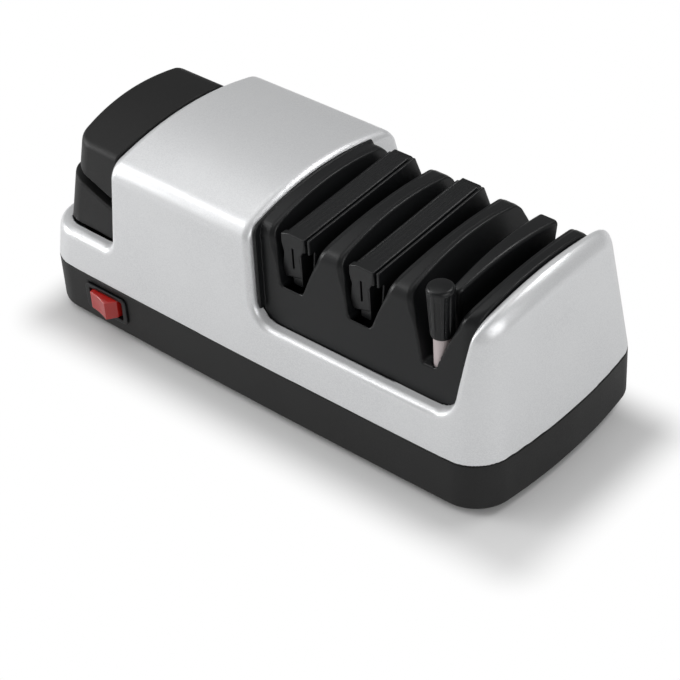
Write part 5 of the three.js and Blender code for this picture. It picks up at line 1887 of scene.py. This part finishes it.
@dataclass
class Studio:
    """Camera at the photograph's viewpoint, plain soft light and a pale floor."""

    azimuth: float = 43.11
    elevation: float = 38.47
    roll: float = -3.86
    distance: float = 863.41
    aim: tuple[float, float, float] = (0.0, 0.0, 50.0)
    side_step: tuple[float, float] = (4.57, -38.8)
    focal_pixels: float = 2074.06
    frame_pixels: float = 680.0
    sensor: float = 36.0
    clip: tuple[float, float] = (0.01, 20.0)
    lamps: tuple[Lamp, ...] = LAMPS
    ambient: float = 0.47
    ceiling: float = 0.2
    sky_fade: tuple[float, float] = (-0.55, -0.15)
    back_dimming: float = 0.5
    # The card's grey: the floor's colour for bounced light, and painted shadow where the camera
    # sees it near the object.
    paper_and_painted_shadow: str = "#d6d6d6"
    paper_reach: float = 6.0
    # The rectangle, shifted to the front right, inside which the camera sees the grey card as a
    # painted shadow patch, and the reach over which it fades to white.
    shade_middle: tuple[float, float] = (0.014, -0.012)
    shade_half: tuple[float, float] = (0.124, 0.044)
    shade_reach: float = 0.025

    def camera(self, shift: Sequence[float]) -> None:
        """Set the camera.

        Args:
            shift: the move from the casing's own middle to the frame's origin.
        """
        az, el, roll = (math.radians(v) for v in (self.azimuth, self.elevation, self.roll))
        back = Vector((math.sin(az) * math.cos(el), -math.cos(az) * math.cos(el), math.sin(el)))
        right = Vector((math.cos(az), math.sin(az), 0.0))
        up = back.cross(right)
        turned_right = right * math.cos(roll) + up * math.sin(roll)
        turned_up = up * math.cos(roll) - right * math.sin(roll)
        place = Vector(self.aim) + Vector(shift) + back * self.distance
        place += turned_right * self.side_step[0] + turned_up * self.side_step[1]
        data = bpy.data.cameras.new("viewpoint")
        data.sensor_fit = "HORIZONTAL"
        data.sensor_width = self.sensor
        data.lens = self.focal_pixels * self.sensor / self.frame_pixels
        data.clip_start, data.clip_end = self.clip
        obj = bpy.data.objects.new("viewpoint", data)
        turn = Matrix((turned_right, turned_up, back)).transposed().to_4x4()
        obj.matrix_world = Matrix.Translation(place * MILLIMETRE) @ turn
        bpy.context.scene.collection.objects.link(obj)
        bpy.context.scene.camera = obj

    def world(self) -> None:
        """White where the camera and gloss look past the object, and a plain dim fill elsewhere."""
        world = bpy.data.worlds.new("studio_white")
        bpy.context.scene.world = world
        world.use_nodes = True
        tree = world.node_tree
        tree.nodes.clear()
        path = add_node(tree, "ShaderNodeLightPath").outputs
        seen = add_node(
            tree, "ShaderNodeMath", {"0": path["Is Camera Ray"], "1": path["Is Transmission Ray"]},
            operation="MAXIMUM",
        ).outputs[0]
        seen = add_node(
            tree, "ShaderNodeMath", {"0": seen, "1": path["Is Glossy Ray"]}, operation="MAXIMUM"
        ).outputs[0]
        way = add_node(tree, "ShaderNodeTexCoord").outputs["Generated"]
        height = add_node(tree, "ShaderNodeVectorMath", {"0": way}, operation="DOT_PRODUCT")
        height.inputs[1].default_value = (0.0, self.back_dimming, 1.0)
        low, high = self.sky_fade
        ceiling = add_node(
            tree, "ShaderNodeMapRange", {"Value": height.outputs["Value"]}, From__Min=low,
            From__Max=high, To__Min=1.0, To__Max=self.ceiling,
        ).outputs["Result"]
        strength = add_node(
            tree, "ShaderNodeMapRange", {"Value": seen, "To Max": ceiling}, To__Min=self.ambient
        ).outputs["Result"]
        sky = add_node(
            tree, "ShaderNodeBackground", {"Strength": strength}, Color=linear("#ffffff")
        )
        add_node(tree, "ShaderNodeOutputWorld", {"Surface": sky.outputs["Background"]})

    def floor(self) -> None:
        """Lay the floor: white far off, and near the object a grey card, a painted shadow patch
        that also takes the object's real shadow.
        """
        data = bpy.data.meshes.new("floor")
        reach = self.paper_reach
        corners = [(-reach, -reach, 0), (reach, -reach, 0), (reach, reach, 0), (-reach, reach, 0)]
        data.from_pydata(corners, [], [(0, 1, 2, 3)])
        paper_and_painted_shadow = bpy.data.materials.new("sweep_paper_with_painted_shadow")
        paper_and_painted_shadow.use_nodes = True
        tree = paper_and_painted_shadow.node_tree
        tree.nodes.clear()
        card = add_node(tree, "ShaderNodeBsdfDiffuse", Color=linear(self.paper_and_painted_shadow))
        glow = add_node(tree, "ShaderNodeEmission", Color=linear("#ffffff"), Strength=1.0)
        path = add_node(tree, "ShaderNodeLightPath").outputs["Is Camera Ray"]
        place = add_node(tree, "ShaderNodeTexCoord").outputs["Object"]
        across = add_node(tree, "ShaderNodeVectorMath", {"0": place}, operation="SUBTRACT")
        across.inputs[1].default_value = (*self.shade_middle, 0)
        size = add_node(
            tree, "ShaderNodeVectorMath", {"0": across.outputs[0]}, operation="ABSOLUTE"
        )
        beyond = add_node(
            tree, "ShaderNodeVectorMath", {"0": size.outputs[0]}, operation="SUBTRACT"
        )
        beyond.inputs[1].default_value = (*self.shade_half, 0)
        outside = add_node(
            tree, "ShaderNodeVectorMath", {"0": beyond.outputs[0]}, operation="MAXIMUM"
        )
        gap = add_node(tree, "ShaderNodeVectorMath", {"0": outside.outputs[0]}, operation="LENGTH")
        # Inside the rectangle the camera sees the grey card, painted shadow with the real shadow on
        # it; beyond the reach it sees white.
        clear = add_node(
            tree, "ShaderNodeMapRange", {"Value": gap.outputs["Value"]},
            interpolation_type="SMOOTHSTEP", From__Max=self.shade_reach,
        )
        share = add_node(
            tree, "ShaderNodeMath", {"0": path, "1": clear.outputs["Result"]}, operation="MULTIPLY"
        )
        mix = add_node(
            tree, "ShaderNodeMixShader",
            {"0": share.outputs[0], "1": card.outputs["BSDF"], "2": glow.outputs["Emission"]},
        )
        add_node(tree, "ShaderNodeOutputMaterial", {"Surface": mix.outputs["Shader"]})
        data.materials.append(paper_and_painted_shadow)
        obj = bpy.data.objects.new("floor", data)
        bpy.context.scene.collection.objects.link(obj)

    def build(self, shift: Sequence[float]) -> None:
        """Set the camera, light and floor.

        Args:
            shift: the move from the casing's own middle to the frame's origin.
        """
        self.camera(shift)
        self.world()
        self.floor()
        for lamp in self.lamps:
            lamp.hang()
        bpy.context.scene.view_settings.view_transform = "Standard"


@dataclass
class Works:
    """The CAD pieces that stay as they are and only get their finishes."""

    finishes: dict[str, Finish] = field(
        default_factory=lambda: {
            "case_screw": ZINC, "foot": RUBBER, "cord_gland": RUBBER,
            "motor_can": CAN, "motor_end_cap": CHARCOAL, "motor_magnet": FERRITE,
            "motor_brush": FERRITE, "motor_bearing": GROUND, "motor_screw": ZINC,
            "motor_bracket": ZINC, "motor_shaft": GROUND, "spindle_shaft": GROUND,
            "rotor_core": COPPER, "commutator": COPPER, "cooling_fan": CHARCOAL,
            "shaft_coupling": RUBBER, "abrasive_wheel": GRIT, "wheel_spring": GROUND,
            "spindle_pillar": CHARCOAL, "spindle_bush": BRONZE, "circuit_board": LAMINATE,
            "capacitor": ACETAL, "rectifier": CHARCOAL, "guide": ACETAL, "stage": ACETAL,
            "hone_rod": ALUMINA_WITH_PAINTED_SHADE, "hone": JET, "switch_rocker": RED, "switch": JET,
            "upper_shell": SILVER, "base": CHARCOAL, "end": CHARCOAL, "vent": CHARCOAL,
            "slot": JET,
        }
    )

    def build(self) -> None:
        """Give every CAD node its finish."""
        for name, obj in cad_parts.items():
            key = next(k for k in self.finishes if name.startswith(k))
            for slot in obj.material_slots:
                slot.material = self.finishes[key].material()


def main() -> None:
    """Build the sharpener and its studio in order."""
    logging.basicConfig(level=logging.INFO, format="%(name)s: %(message)s")
    body = BodyForm()
    Studio().build(body.shift)
    Works().build()
    Casing(body).build()
    EndCover(body).build()
    hone = Hone()
    SlotModule(body, hone).build()
    hone.build()
    RockerSwitch(body).build()


if __name__ == "__main__":
    main()
